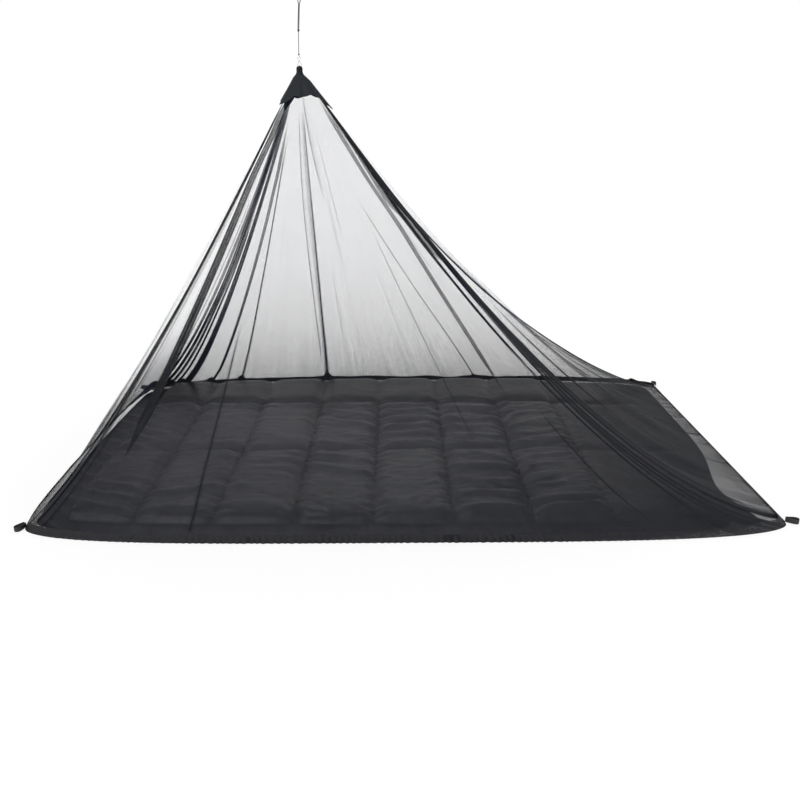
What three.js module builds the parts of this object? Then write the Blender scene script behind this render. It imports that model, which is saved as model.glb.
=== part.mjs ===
// A mosquito net tent: four panels of net hang from one cord, spread to a rectangular hem on
// the ground and fall round a quilted floor mat. Millimetres, +X along the length of the hem,
// +Z up, origin on the ground in the middle of the hem.
import * as THREE from "three";

// ---------------------------------------------------------------- driving sizes

const GAP = 0.3; // between pieces that touch

const HEM_LENGTH = 2200; // corner to corner along X
const HEM_DEPTH = 1200; // corner to corner along Y
const PEAK = new THREE.Vector3(-320, 0, 1250); // where the four ridges would meet
const NECK_RADIUS = 6; // of the gathered net under the cap

const NET_THICKNESS = 1.5;
const HEM_THICKNESS = 3; // the folded edge of the net, sewn double
const HEM_HEIGHT = 22;
const PANEL_FALL = 1430; // from the peak to the hem, along the cloth
const NET_TOP = 0.03; // where the net starts, as a share of the way from peak to hem

const CAP_THICKNESS = 1.6;
const CAP_CLEARANCE = 1.8; // between the net and the cap over it
const CAP_START = 0.02; // top of the cap's hollow, as a share of the way from peak to hem
const CAP_EDGE = 0.066; // the cap's lower edge in the middle of a panel, as such a share
const FREE_NET = 0.09; // where the net has come out from under the cap
const CAP_NECK = [
  // the bound neck above the cone, from its foot to its top
  { radius: 10.5, height: 1233 },
  { radius: 8.6, height: 1238 },
  { radius: 9.2, height: 1244 },
  { radius: 6.4, height: 1249 },
];

const LOOP_TAPE = { radius: 1.2, halfWidth: 4, height: 8.5 };
const HOOK = { wire: 1, left: 5, right: 6.5, height: 14.4 };
const BARREL = { radius: 2, length: 2.6 };
const EYE = { wire: 0.9, radius: 4.4 };
const TIE = { radius: 2.1, yarn: 0.8 };
const KNOT = { radius: 2.6, length: 5 };
const UPPER_KNOT = { radius: 3.4, length: 8 };
const CORD = { diameter: 2, length: 60 }; // single strand, knot to knot
const CORD_LOOP = { diameter: 2.4, length: 80, eye: 4 }; // doubled strand above the upper knot
const CORD_LEAN = { middle: 1, knot: 2, loop: 8 }; // how far the cord leans along X, as it rises

// A ridge falls from the peak to its corner. A share s of the way out, it has (1 - s) to a power
// of its height left; the power goes from `high` at the peak to `low` at the ground. `cap` is
// the share of the way down that the cap's point reaches.
const RIDGES = {
  frontLeft: { x: -1, y: -1, high: 1.22, low: 1.25, cap: 0.075 },
  frontRight: { x: 1, y: -1, high: 1.5, low: 1.75, cap: 0.047 },
  backRight: { x: 1, y: 1, high: 1.78, low: 1.36, cap: 0.047 },
  backLeft: { x: -1, y: 1, high: 1.42, low: 1.42, cap: 0.072 },
};

// `bow` is how far the hem's middle lies outside the straight line between its corners. The
// higher `bend` and the lower `soften`, the closer to the corners the hem keeps that bow. `taut`
// is the power of the fall in the middle of the panel, where 1 is a straight line.
const PANELS = {
  net_front: { from: RIDGES.frontLeft, to: RIDGES.frontRight, bow: 110, bend: 4, soften: 0.42, taut: 1.02 },
  net_right: { from: RIDGES.frontRight, to: RIDGES.backRight, bow: 0, bend: 2.5, soften: 0.65, taut: 1.5 },
  net_back: { from: RIDGES.backRight, to: RIDGES.backLeft, bow: 110, bend: 2.5, soften: 0.65, taut: 0.98 },
  net_left: { from: RIDGES.backLeft, to: RIDGES.frontLeft, bow: 25, bend: 2.5, soften: 0.65, taut: 1.1 },
};

// Folds run down from the peak. `at` is the place along the hem, from -1 to 1 in the order of
// the panel's corners, `spread` the half width on the same scale, `start` and `end` the shares of
// the way down where the fold begins and dies out, and `rise` its height, negative for a trough.
const FOLDS = {
  net_front: [
    { at: -0.86, spread: 0.07, start: 0.1, end: 0.98, rise: 16 },
    { at: -0.71, spread: 0.06, start: 0.2, end: 0.95, rise: -14 },
    { at: -0.55, spread: 0.07, start: 0.25, end: 0.97, rise: 18 },
    { at: -0.2, spread: 0.09, start: 0.45, end: 0.97, rise: -12 },
    { at: 0.16, spread: 0.08, start: 0.4, end: 0.97, rise: 10 },
    { at: 0.52, spread: 0.07, start: 0.2, end: 0.97, rise: 20 },
    { at: 0.68, spread: 0.06, start: 0.15, end: 0.97, rise: -18 },
    { at: 0.86, spread: 0.07, start: 0.2, end: 0.97, rise: 16 },
  ],
  net_right: [
    { at: -0.68, spread: 0.2, start: 0.12, end: 0.97, rise: -18 },
    { at: -0.05, spread: 0.22, start: 0.3, end: 0.96, rise: 16 },
    { at: 0.62, spread: 0.2, start: 0.15, end: 0.97, rise: -8 },
  ],
  net_back: [
    { at: -0.84, spread: 0.07, start: 0.35, end: 0.97, rise: 14 },
    { at: -0.62, spread: 0.07, start: 0.12, end: 0.97, rise: -16 },
    { at: -0.34, spread: 0.06, start: 0.12, end: 0.98, rise: 20 },
    { at: 0.02, spread: 0.08, start: 0.15, end: 0.9, rise: -10 },
    { at: 0.3, spread: 0.06, start: 0.09, end: 0.98, rise: 18 },
    { at: 0.47, spread: 0.06, start: 0.1, end: 0.97, rise: -14 },
    { at: 0.63, spread: 0.06, start: 0.09, end: 0.98, rise: 18 },
    { at: 0.78, spread: 0.06, start: 0.09, end: 0.97, rise: -16 },
  ],
  net_left: [
    { at: -0.6, spread: 0.2, start: 0.5, end: 0.97, rise: 18 },
    { at: -0.1, spread: 0.2, start: 0.2, end: 0.96, rise: -16 },
    { at: 0.45, spread: 0.2, start: 0.3, end: 0.97, rise: 6 },
  ],
};

// The mat's edges. Inside each lies a thin border without filling, then the filling rises over
// the width of its rounding.
const MAT_EDGES = {
  left: { at: -1082, border: 90, rounding: 48 },
  right: { at: 1050, border: 84, rounding: 48 },
  front: { at: -682, border: 66, rounding: 48 },
  back: { at: 584, border: 24, rounding: 48 },
};
const MAT_CORNERS = { frontLeft: 50, frontRight: 45, backRight: 50, backLeft: 80 }; // radii
const MAT_FRONT_BOW = { depth: 105, end: -260 }; // of the front edge, and the y where it has gone
const MAT_BACK_BOW = { depth: 98, start: 370 }; // of the back edge, and the y where it begins
const MAT_LEFT_BOW = 20; // how far the left edge's middle lies outside its ends
const MAT_HOLLOW = { depth: 62, y: -410, width: 220 }; // where the right edge draws in
const MAT_THICKNESS = 46; // at the crown of a channel
const MAT_END_THICKNESS = 20; // smooth cloth with little filling at the right end
const MAT_FILL_END = { from: 560, to: 740 }; // where the filling runs out along X
const MAT_BORDER_THICKNESS = { edge: 3, inner: 9 };
const FIRST_SEAM = -795;
const SEAM_PITCH = 233;
const SEAM_COUNT = 7;
const SEAM = { depth: 0.42, width: 26 }; // the share of the thickness that a seam draws in
const CROSS_SEAMS = [
  { y: -125, depth: 0.25 },
  { y: 350, depth: 0.4 },
];
const PLAIN_COLUMN = 850; // a line of the mesh across the smooth end
const PLAIN_ROWS = [-650, -530, -400, -260, 0, 120, 235, 460]; // lines of the mesh between seams

// Tape loops at the four corners. `turn` is the direction in which each one points, in degrees,
// and `offset` how far its root stands out from the corner.
const PEG_LOOP = { length: 37, width: 20, tape: 2, height: 14, root: 8, web: 9 };
const PEG_LOOPS = {
  peg_loop_front_left: { ridge: RIDGES.frontLeft, turn: -115, offset: 2.3 },
  peg_loop_front_right: { ridge: RIDGES.frontRight, turn: -20, offset: 0.8 },
  peg_loop_back_right: { ridge: RIDGES.backRight, turn: 90, offset: 2.4 },
  peg_loop_back_left: { ridge: RIDGES.backLeft, turn: 160, offset: 0.8 },
};

// ---------------------------------------------------------------- small helpers

const lerp = THREE.MathUtils.lerp;
const smooth = THREE.MathUtils.smoothstep;

function finish(color, roughness, metalness = 0) {
  return new THREE.MeshStandardMaterial({ color, roughness, metalness });
}

const NET_CLOTH = finish(0x2b2c30, 0.9);
const CAP_CLOTH = finish(0x303338, 0.6);
const MAT_CLOTH = finish(0x3a3b42, 0.5);
const TAPE = finish(0x1c1d20, 0.8);
const CORD_YARN = finish(0x3c3f44, 0.8);
const STEEL = finish(0xb9bcc0, 0.3, 1);

// A closed geometry from a list of points and a list of triangles.
function solid(points, triangles) {
  const geometry = new THREE.BufferGeometry().setFromPoints(points);
  geometry.setIndex(triangles.flat());
  geometry.computeVertexNormals();
  return geometry;
}

// The two triangles of a four-sided face whose corners run counter-clockwise from outside.
function quad(a, b, c, d) {
  return [
    [a, b, c],
    [a, c, d],
  ];
}

// The indices round the edge of a grid of points: along row 0, and back along the last row.
function gridRim(rows, columns) {
  const last = rows - 1;
  const rim = [];
  for (let column = 0; column < columns - 1; column++) rim.push(column);
  for (let row = 0; row < last; row++) rim.push(row * columns + columns - 1);
  for (let column = columns - 1; column > 0; column--) rim.push(last * columns + column);
  for (let row = last; row > 0; row--) rim.push(row * columns);
  return rim;
}

function part(name, geometry, material) {
  const mesh = new THREE.Mesh(geometry, material);
  mesh.name = name;
  return mesh;
}

// ---------------------------------------------------------------- the net's surface

function corner(ridge) {
  return new THREE.Vector3((ridge.x * HEM_LENGTH) / 2, (ridge.y * HEM_DEPTH) / 2, 0);
}

// How much of the bow the hem has at a place along it: none at the corners, and soon most of it.
function bowShare({ bend, soften }, place) {
  return Math.pow(1 - Math.pow(Math.min(Math.abs(place), 1), bend), soften);
}

function hemPoint(panel, place) {
  const from = corner(panel.from);
  const to = corner(panel.to);
  const outward = to.clone().sub(from).normalize();
  outward.set(outward.y, -outward.x, 0);
  return from.lerp(to, (place + 1) / 2).addScaledVector(outward, panel.bow * bowShare(panel, place));
}

function fallPower(panel, place, share) {
  const from = lerp(panel.from.high, panel.from.low, share);
  const to = lerp(panel.to.high, panel.to.low, share);
  const ridges = lerp(from, to, (place + 1) / 2);
  return lerp(panel.taut, ridges, Math.pow(Math.abs(place), 2.2));
}

// A point of the smooth surface: `place` runs along the hem and `share` from the peak to the hem.
function smoothPoint(panel, place, share) {
  const out = hemPoint(panel, place).sub(PEAK).setZ(0);
  const reach = out.length();
  const radius = Math.hypot(share * reach, NECK_RADIUS * (1 - share));
  const foot = HEM_THICKNESS / 2;
  const height = foot + (PEAK.z - foot) * Math.pow(1 - share, fallPower(panel, place, share));
  return out.setLength(radius).add(PEAK).setZ(height);
}

function smoothNormal(panel, place, share) {
  const step = 0.004;
  const across = smoothPoint(panel, Math.min(place + step, 1), share);
  across.sub(smoothPoint(panel, Math.max(place - step, -1), share));
  const down = smoothPoint(panel, place, Math.min(share + step, 1));
  down.sub(smoothPoint(panel, place, share - step));
  return down.cross(across).normalize();
}

function foldRise(name, place, share) {
  let rise = 0;
  for (const fold of FOLDS[name]) {
    const off = Math.abs(place - fold.at) / fold.spread;
    if (off >= 1) continue;
    const fade = 0.14;
    const begins = smooth(share, fold.start, fold.start + fade);
    const ends = 1 - smooth(share, fold.end - fade, fold.end);
    rise += fold.rise * begins * ends * (0.5 + 0.5 * Math.cos(Math.PI * off));
  }
  return rise;
}

// Columns of the mesh stand on every fold's crest and feet, and at even steps between them.
function columnPlaces(name, step) {
  const places = FOLDS[name].flatMap(({ at, spread }) => [at - spread, at, at + spread]);
  const even = Math.round(2 / step);
  for (let i = 0; i <= even; i++) places.push(-1 + (2 * i) / even);
  places.sort((a, b) => a - b);
  const kept = places.filter((place, i) => i === 0 || place - places[i - 1] > step / 4);
  kept[kept.length - 1] = 1;
  return kept;
}

function rowShares() {
  const rows = 10;
  const hem = 1 - HEM_HEIGHT / PANEL_FALL;
  const shares = [NET_TOP, lerp(NET_TOP, FREE_NET, 0.35), lerp(NET_TOP, FREE_NET, 0.7)];
  for (let i = 0; i <= rows; i++) shares.push(lerp(FREE_NET, hem - 0.002, i / rows));
  return [...shares, hem, 1];
}

// The direction of the mitre at a panel's edge, the same for the two panels that meet there.
function mitre(panel, place, share) {
  const meets = (next) => (place > 0 ? next.from === panel.to : next.to === panel.from);
  const other = Object.values(PANELS).find(meets);
  const own = smoothNormal(panel, place, share);
  const sum = smoothNormal(other, -place, share).add(own).normalize();
  return sum.divideScalar(sum.dot(own));
}

// A sheet of the panel's cloth: an outer and an inner skin, joined round their edge.
function panelGeometry(name) {
  const panel = PANELS[name];
  const places = columnPlaces(name, 0.14);
  const shares = rowShares();
  const points = [];
  for (const side of [1, -1]) {
    shares.forEach((share, row) => {
      const half = (row > shares.length - 3 ? HEM_THICKNESS : NET_THICKNESS) / 2;
      for (const place of places) {
        const edge = Math.abs(place) === 1;
        const normal = edge ? mitre(panel, place, share) : smoothNormal(panel, place, share);
        const point = smoothPoint(panel, place, share);
        if (edge) {
          const inward = smoothPoint(panel, place * 0.99, share).sub(point).setLength(GAP);
          point.add(inward);
        }
        point.addScaledVector(smoothNormal(panel, place, share), foldRise(name, place, share));
        point.addScaledVector(normal, side * half);
        if (share === 1) point.z = 0;
        points.push(point);
      }
    });
  }
  const wide = places.length;
  const skin = wide * shares.length;
  const at = (row, column) => row * wide + column;
  const triangles = [];
  for (let row = 0; row + 1 < shares.length; row++) {
    for (let column = 0; column + 1 < wide; column++) {
      const a = at(row, column);
      const b = at(row + 1, column);
      triangles.push(...quad(a, b, b + 1, a + 1));
      triangles.push(...quad(a + skin, a + 1 + skin, b + 1 + skin, b + skin));
    }
  }
  const rim = gridRim(shares.length, wide);
  rim.forEach((a, i) => {
    const b = rim[(i + 1) % rim.length];
    triangles.push(...quad(a, b, b + skin, a + skin));
  });
  return solid(points, triangles);
}

// ---------------------------------------------------------------- the cap over the net's top

// The places round all four panels, in order, as columns of a closed ring.
function ringColumns(perPanel) {
  return Object.values(PANELS).flatMap((panel) =>
    Array.from({ length: perPanel }, (_, i) => ({ panel, place: -1 + (2 * i) / perPanel })),
  );
}

// Faces between two rings of points that start at index a and b, with b further down outside.
function band(a, b, count) {
  return Array.from({ length: count }, (_, i) => {
    const next = (i + 1) % count;
    return quad(a + i, b + i, b + next, a + next);
  }).flat();
}

function capGeometry() {
  const columns = ringColumns(12);
  const count = columns.length;
  const points = [];
  const skinRing = (amount, offset) => {
    for (const { panel, place } of columns) {
      const point = lerp(panel.from.cap, panel.to.cap, (place + 1) / 2);
      const edge = lerp(CAP_EDGE, point, Math.pow(Math.abs(place), 3));
      const share = lerp(CAP_START, edge, amount);
      const onRidge = Math.abs(place) === 1;
      const normal = onRidge ? mitre(panel, place, share) : smoothNormal(panel, place, share);
      points.push(smoothPoint(panel, place, share).addScaledVector(normal, offset));
    }
  };
  const neckRing = ({ radius, height }) => {
    for (const { panel, place } of columns) {
      const out = hemPoint(panel, place).sub(PEAK).setZ(0).setLength(radius);
      points.push(out.add(PEAK).setZ(height));
    }
  };
  const inside = NET_THICKNESS / 2 + CAP_CLEARANCE;
  const amounts = [0, 0.3, 0.65, 1];
  [...CAP_NECK].reverse().forEach(neckRing);
  amounts.forEach((amount) => skinRing(amount, inside + CAP_THICKNESS));
  [...amounts].reverse().forEach((amount) => skinRing(amount, inside));
  const rings = points.length / count;
  const triangles = [];
  for (let ring = 0; ring + 1 < rings; ring++) {
    triangles.push(...band(ring * count, (ring + 1) * count, count));
  }
  const top = points.push(PEAK.clone().setZ(CAP_NECK.at(-1).height)) - 1;
  const ceiling = points.at(-2).z;
  const under = points.push(PEAK.clone().setZ(ceiling)) - 1;
  const lastRing = (rings - 1) * count;
  for (let i = 0; i < count; i++) {
    const next = (i + 1) % count;
    triangles.push([top, i, next], [under, lastRing + next, lastRing + i]);
  }
  return solid(points, triangles);
}

// ---------------------------------------------------------------- hook, eye and cord

// A round tube along an open curve. A full circle has two sides to each curve segment.
function tube(points, radius, steps, sides = 8) {
  const section = new THREE.Shape().absarc(0, 0, radius, 0, 2 * Math.PI);
  const extrudePath = new THREE.CatmullRomCurve3(points);
  return new THREE.ExtrudeGeometry(section, { extrudePath, steps, curveSegments: sides / 2 });
}

// A round tube along a closed curve.
function closedTube(controlPoints, radius, steps, sides = 8) {
  const curve = new THREE.CatmullRomCurve3(controlPoints, true);
  const { normals, binormals } = curve.computeFrenetFrames(steps, true);
  const points = [];
  for (let i = 0; i < steps; i++) {
    for (let j = 0; j < sides; j++) {
      const angle = (2 * Math.PI * j) / sides;
      const point = curve.getPointAt(i / steps);
      point.addScaledVector(normals[i], radius * Math.cos(angle));
      points.push(point.addScaledVector(binormals[i], -radius * Math.sin(angle)));
    }
  }
  const triangles = [];
  for (let i = 0; i < steps; i++) {
    triangles.push(...band(i * sides, ((i + 1) % steps) * sides, sides));
  }
  return solid(points, triangles);
}

// A circle of control points in the XZ or YZ plane.
function circle(centre, radius, alongX) {
  return Array.from({ length: 12 }, (_, i) => {
    const angle = (Math.PI * i) / 6;
    const out = radius * Math.cos(angle);
    const point = new THREE.Vector3(alongX ? out : 0, alongX ? 0 : out, radius * Math.sin(angle));
    return point.add(centre);
  });
}

// A round body on a vertical axis, from rows of radius and height that start and end on it.
function turned(rows, bottom) {
  const profile = rows.map(([radius, height]) => new THREE.Vector2(radius, height));
  const geometry = new THREE.LatheGeometry(profile, 12);
  geometry.rotateX(Math.PI / 2);
  return geometry.translate(PEAK.x, PEAK.y, bottom);
}

function knotRows({ radius, length }) {
  return [
    [0, 0],
    [0.6 * radius, 0.06 * length],
    [radius, 0.3 * length],
    [0.82 * radius, 0.5 * length],
    [0.95 * radius, 0.7 * length],
    [0.55 * radius, 0.95 * length],
    [0, length],
  ];
}

// A point on the cord's line, `aside` from it along X.
function onLine(height, aside = 0) {
  return new THREE.Vector3(PEAK.x + aside, PEAK.y, height);
}

function hangingFittings() {
  const neckTop = CAP_NECK.at(-1).height;
  const tapeFoot = neckTop + GAP;
  const tapeTop = tapeFoot + LOOP_TAPE.height;
  const tapeLeg = (side, height, width) => new THREE.Vector3(PEAK.x, side * width, height);
  const tapePath = [
    tapeLeg(-1, tapeFoot, LOOP_TAPE.halfWidth),
    tapeLeg(-1, tapeFoot + 0.5 * LOOP_TAPE.height, LOOP_TAPE.halfWidth),
    tapeLeg(-1, tapeFoot + 0.85 * LOOP_TAPE.height, 0.65 * LOOP_TAPE.halfWidth),
    onLine(tapeTop),
    tapeLeg(1, tapeFoot + 0.85 * LOOP_TAPE.height, 0.65 * LOOP_TAPE.halfWidth),
    tapeLeg(1, tapeFoot + 0.5 * LOOP_TAPE.height, LOOP_TAPE.halfWidth),
    tapeLeg(1, tapeFoot, LOOP_TAPE.halfWidth),
  ];
  const hookFoot = tapeTop - LOOP_TAPE.radius - GAP - HOOK.wire;
  const hookTop = hookFoot + HOOK.height;
  const hookPath = [
    onLine(hookFoot),
    onLine(hookFoot + 0.14 * HOOK.height, 0.75 * HOOK.right),
    onLine(hookFoot + 0.42 * HOOK.height, HOOK.right),
    onLine(hookFoot + 0.78 * HOOK.height, 0.6 * HOOK.right),
    onLine(hookTop),
    onLine(hookFoot + 0.78 * HOOK.height, -0.6 * HOOK.left),
    onLine(hookFoot + 0.42 * HOOK.height, -HOOK.left),
    onLine(hookFoot + 0.14 * HOOK.height, -0.75 * HOOK.left),
  ];
  const barrelFoot = hookTop + HOOK.wire + GAP;
  const barrelRows = [
    [0, 0],
    [BARREL.radius, 0],
    [BARREL.radius, 0.35 * BARREL.length],
    [0.8 * BARREL.radius, 0.5 * BARREL.length],
    [BARREL.radius, 0.65 * BARREL.length],
    [BARREL.radius, BARREL.length],
    [0, BARREL.length],
  ];
  const eyeCentre = barrelFoot + BARREL.length + GAP + EYE.wire + EYE.radius;
  const tieCentre = eyeCentre + EYE.radius + TIE.radius - TIE.yarn - EYE.wire - GAP;
  const knotFoot = tieCentre + TIE.radius + TIE.yarn + GAP;
  const cordFoot = knotFoot + KNOT.length + GAP;
  const cordTop = cordFoot + CORD.length;
  const cordPath = [
    onLine(cordFoot),
    onLine(cordFoot + 0.5 * CORD.length, CORD_LEAN.middle),
    onLine(cordTop, CORD_LEAN.knot),
  ];
  const upperKnotFoot = cordTop + GAP;
  const loopFoot = upperKnotFoot + UPPER_KNOT.length + GAP;
  const beside = CORD_LOOP.diameter / 2 + GAP / 2;
  const loopTop = loopFoot + CORD_LOOP.length;
  const leaning = (height, aside) => {
    const share = (height - loopFoot) / CORD_LOOP.length;
    return onLine(height, lerp(CORD_LEAN.knot, CORD_LEAN.loop, share) + aside);
  };
  const strand = (side) => [
    leaning(loopFoot, side * beside),
    leaning(loopFoot + 0.45 * CORD_LOOP.length, side * beside),
    leaning(loopTop - 3.4 * CORD_LOOP.eye, side * beside),
    leaning(loopTop - 1.2 * CORD_LOOP.eye, side * 0.95 * CORD_LOOP.eye),
    leaning(loopTop - 0.25 * CORD_LOOP.eye, side * 0.6 * CORD_LOOP.eye),
  ];
  const loopPath = [...strand(-1), leaning(loopTop, 0), ...strand(1).reverse()];
  const upperKnot = turned(knotRows(UPPER_KNOT), upperKnotFoot).translate(CORD_LEAN.knot, 0, 0);
  return [
    part("hanging_loop", tube(tapePath, LOOP_TAPE.radius, 14), TAPE),
    part("snap_hook", closedTube(hookPath, HOOK.wire, 28), STEEL),
    part("swivel_barrel", turned(barrelRows, barrelFoot), STEEL),
    part("swivel_eye", closedTube(circle(onLine(eyeCentre), EYE.radius, true), EYE.wire, 20), STEEL),
    part("tie_loop", closedTube(circle(onLine(tieCentre), TIE.radius, false), TIE.yarn, 14), CORD_YARN),
    part("lower_knot", turned(knotRows(KNOT), knotFoot), CORD_YARN),
    part("cord", tube(cordPath, CORD.diameter / 2, 12), CORD_YARN),
    part("upper_knot", upperKnot, CORD_YARN),
    part("cord_loop", tube(loopPath, CORD_LOOP.diameter / 2, 44), CORD_YARN),
  ];
}

// ---------------------------------------------------------------- peg loops at the corners

// Tape sewn double at its root and open beyond it, standing on its edge on the ground.
function pegLoopGeometry() {
  const { length, width, tape, height, root, web } = PEG_LOOP;
  const nose = width / 2;
  const outline = (half, start, tipHalf) => {
    const shape = new THREE.Path();
    shape.moveTo(start, -half);
    shape.quadraticCurveTo(0.45 * length, -tipHalf, length - nose, -tipHalf);
    shape.absarc(length - nose, 0, tipHalf, -Math.PI / 2, Math.PI / 2);
    shape.quadraticCurveTo(0.45 * length, tipHalf, start, half);
    return shape;
  };
  const shape = new THREE.Shape(outline(root / 2, 0, nose).getPoints(6));
  shape.holes.push(new THREE.Path(outline(0, web, nose - tape).getPoints(6)));
  return new THREE.ExtrudeGeometry(shape, { depth: height, bevelEnabled: false });
}

function pegLoop([name, { ridge, turn, offset }]) {
  const loop = part(name, pegLoopGeometry(), TAPE);
  const angle = THREE.MathUtils.degToRad(turn);
  loop.rotation.z = angle;
  const out = new THREE.Vector3(Math.cos(angle), Math.sin(angle), 0);
  loop.position.copy(corner(ridge)).addScaledVector(out, offset);
  return loop;
}

// ---------------------------------------------------------------- the quilted floor mat

const LAST_SEAM = FIRST_SEAM + SEAM_PITCH * (SEAM_COUNT - 1);

// Distances in from an edge at which the mesh needs a line, to follow the border and rounding.
function edgeLines({ border, rounding }) {
  return [0, border, border + 0.15 * rounding, border + 0.5 * rounding, border + rounding];
}

function matColumns() {
  const { left, right } = MAT_EDGES;
  const columns = edgeLines(left).map((inward) => left.at + inward);
  for (let seam = FIRST_SEAM; seam <= LAST_SEAM; seam += SEAM_PITCH) {
    columns.push(seam - SEAM.width, seam, seam + SEAM.width, seam + SEAM_PITCH / 2);
  }
  columns.push(PLAIN_COLUMN);
  return [...columns, ...edgeLines(right).map((inward) => right.at - inward).reverse()];
}

function matRows() {
  const { front, back } = MAT_EDGES;
  const rows = [...PLAIN_ROWS, ...edgeLines(front).map((inward) => front.at + inward)];
  for (const { y } of CROSS_SEAMS) rows.push(y - SEAM.width, y, y + SEAM.width);
  rows.push(...edgeLines(back).map((inward) => back.at - inward));
  return rows.sort((a, b) => a - b);
}

// How far a corner of this radius draws in the side, at a distance from the end of the mat.
function cornerInset(radius, fromEnd) {
  const into = Math.max(radius - fromEnd, 0);
  return radius - Math.sqrt(radius ** 2 - into ** 2);
}

// The place of a column and row once the corners are rounded and the edges follow the hem.
function matPlace(column, row) {
  const { left, right, front, back } = MAT_EDGES;
  const inset = (frontRadius, backRadius) =>
    Math.max(cornerInset(frontRadius, row - front.at), cornerInset(backRadius, back.at - row));
  const leftBow = MAT_LEFT_BOW * bowShare(PANELS.net_left, (2 * row) / HEM_DEPTH);
  const hollow = MAT_HOLLOW.depth * Math.exp(-(((row - MAT_HOLLOW.y) / MAT_HOLLOW.width) ** 2));
  const leftInset = inset(MAT_CORNERS.frontLeft, MAT_CORNERS.backLeft) - leftBow;
  const rightInset = inset(MAT_CORNERS.frontRight, MAT_CORNERS.backRight) + hollow;
  const leftShare = 1 - smooth(column, left.at, FIRST_SEAM);
  const rightShare = smooth(column, LAST_SEAM, right.at);
  const bowed = MAT_FRONT_BOW.depth * (1 - bowShare(PANELS.net_front, (2 * column) / HEM_LENGTH));
  const frontShare = 1 - smooth(row, front.at, MAT_FRONT_BOW.end);
  const backBow = MAT_BACK_BOW.depth * bowShare(PANELS.net_back, (2 * column) / HEM_LENGTH);
  const backShare = smooth(row, MAT_BACK_BOW.start, back.at);
  return {
    x: column + leftShare * leftInset - rightShare * rightInset,
    y: row + bowed * frontShare + backBow * backShare,
  };
}

// How far the filling has risen, from 0 to 1, at a distance from an edge.
function filled({ border, rounding }, distance) {
  const inward = Math.min(Math.max((distance - border) / rounding, 0), 1);
  return Math.sqrt(1 - (1 - inward) ** 2);
}

function seamDip(distance, depth) {
  return 1 - depth * Math.exp(-((distance / SEAM.width) ** 2));
}

function matHeight(column, row) {
  const { left, right, front, back } = MAT_EDGES;
  const emptied = smooth(column, MAT_FILL_END.from, MAT_FILL_END.to);
  let height = lerp(MAT_THICKNESS, MAT_END_THICKNESS, emptied);
  const seam = Math.min(Math.max(Math.round((column - FIRST_SEAM) / SEAM_PITCH), 0), SEAM_COUNT - 1);
  height *= seamDip(column - FIRST_SEAM - seam * SEAM_PITCH, SEAM.depth);
  for (const { y, depth } of CROSS_SEAMS) height *= seamDip(row - y, depth);
  const ends = Math.min(filled(left, column - left.at), filled(right, right.at - column));
  const sides = Math.min(filled(front, row - front.at), filled(back, back.at - row));
  const fromEnd = Math.min((column - left.at) / left.border, (right.at - column) / right.border);
  const fromSide = Math.min((row - front.at) / front.border, (back.at - row) / back.border);
  const { edge, inner } = MAT_BORDER_THICKNESS;
  const border = lerp(edge, inner, Math.min(fromEnd, fromSide, 1));
  return lerp(border, height, Math.min(ends, sides));
}

function matGeometry() {
  const columns = matColumns();
  const rows = matRows();
  const wide = columns.length;
  const points = rows.flatMap((row) =>
    columns.map((column) => {
      const { x, y } = matPlace(column, row);
      return new THREE.Vector3(x, y, matHeight(column, row));
    }),
  );
  const at = (row, column) => row * wide + column;
  const triangles = [];
  for (let row = 0; row + 1 < rows.length; row++) {
    for (let column = 0; column + 1 < wide; column++) {
      const right = column + 1;
      triangles.push(...quad(at(row, column), at(row, right), at(row + 1, right), at(row + 1, column)));
    }
  }
  const rim = gridRim(rows.length, wide);
  const floor = points.length;
  const contour = rim.map((index) => new THREE.Vector2(points[index].x, points[index].y));
  for (const { x, y } of contour) points.push(new THREE.Vector3(x, y, 0));
  rim.forEach((upper, i) => {
    const next = (i + 1) % rim.length;
    triangles.push(...quad(upper, floor + i, floor + next, rim[next]));
  });
  for (const [a, b, c] of THREE.ShapeUtils.triangulateShape(contour, [])) {
    triangles.push([floor + c, floor + b, floor + a]);
  }
  return solid(points, triangles);
}

// ---------------------------------------------------------------- the whole tent

export default new THREE.Group().add(
  ...Object.keys(PANELS).map((name) => part(name, panelGeometry(name), NET_CLOTH)),
  part("cap", capGeometry(), CAP_CLOTH),
  ...hangingFittings(),
  ...Object.entries(PEG_LOOPS).map(pegLoop),
  part("floor_mat", matGeometry(), MAT_CLOTH),
);
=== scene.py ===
# %% [markdown]
# # A mosquito net tent with a quilted floor mat
#
# One cord holds up the gathered top of a black net. The net falls as a pyramid to a hem on the
# ground, and a dark quilted mat lies inside it. We load the measured solids first, and then dress
# every one of them: the net as thin pleated sheets, the mat as a padded quilt, the small metal
# and cord pieces as finer copies of their solids.

# %% Load the frame
import math

import bpy
import numpy as np
from mathutils import Matrix, Vector


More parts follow.
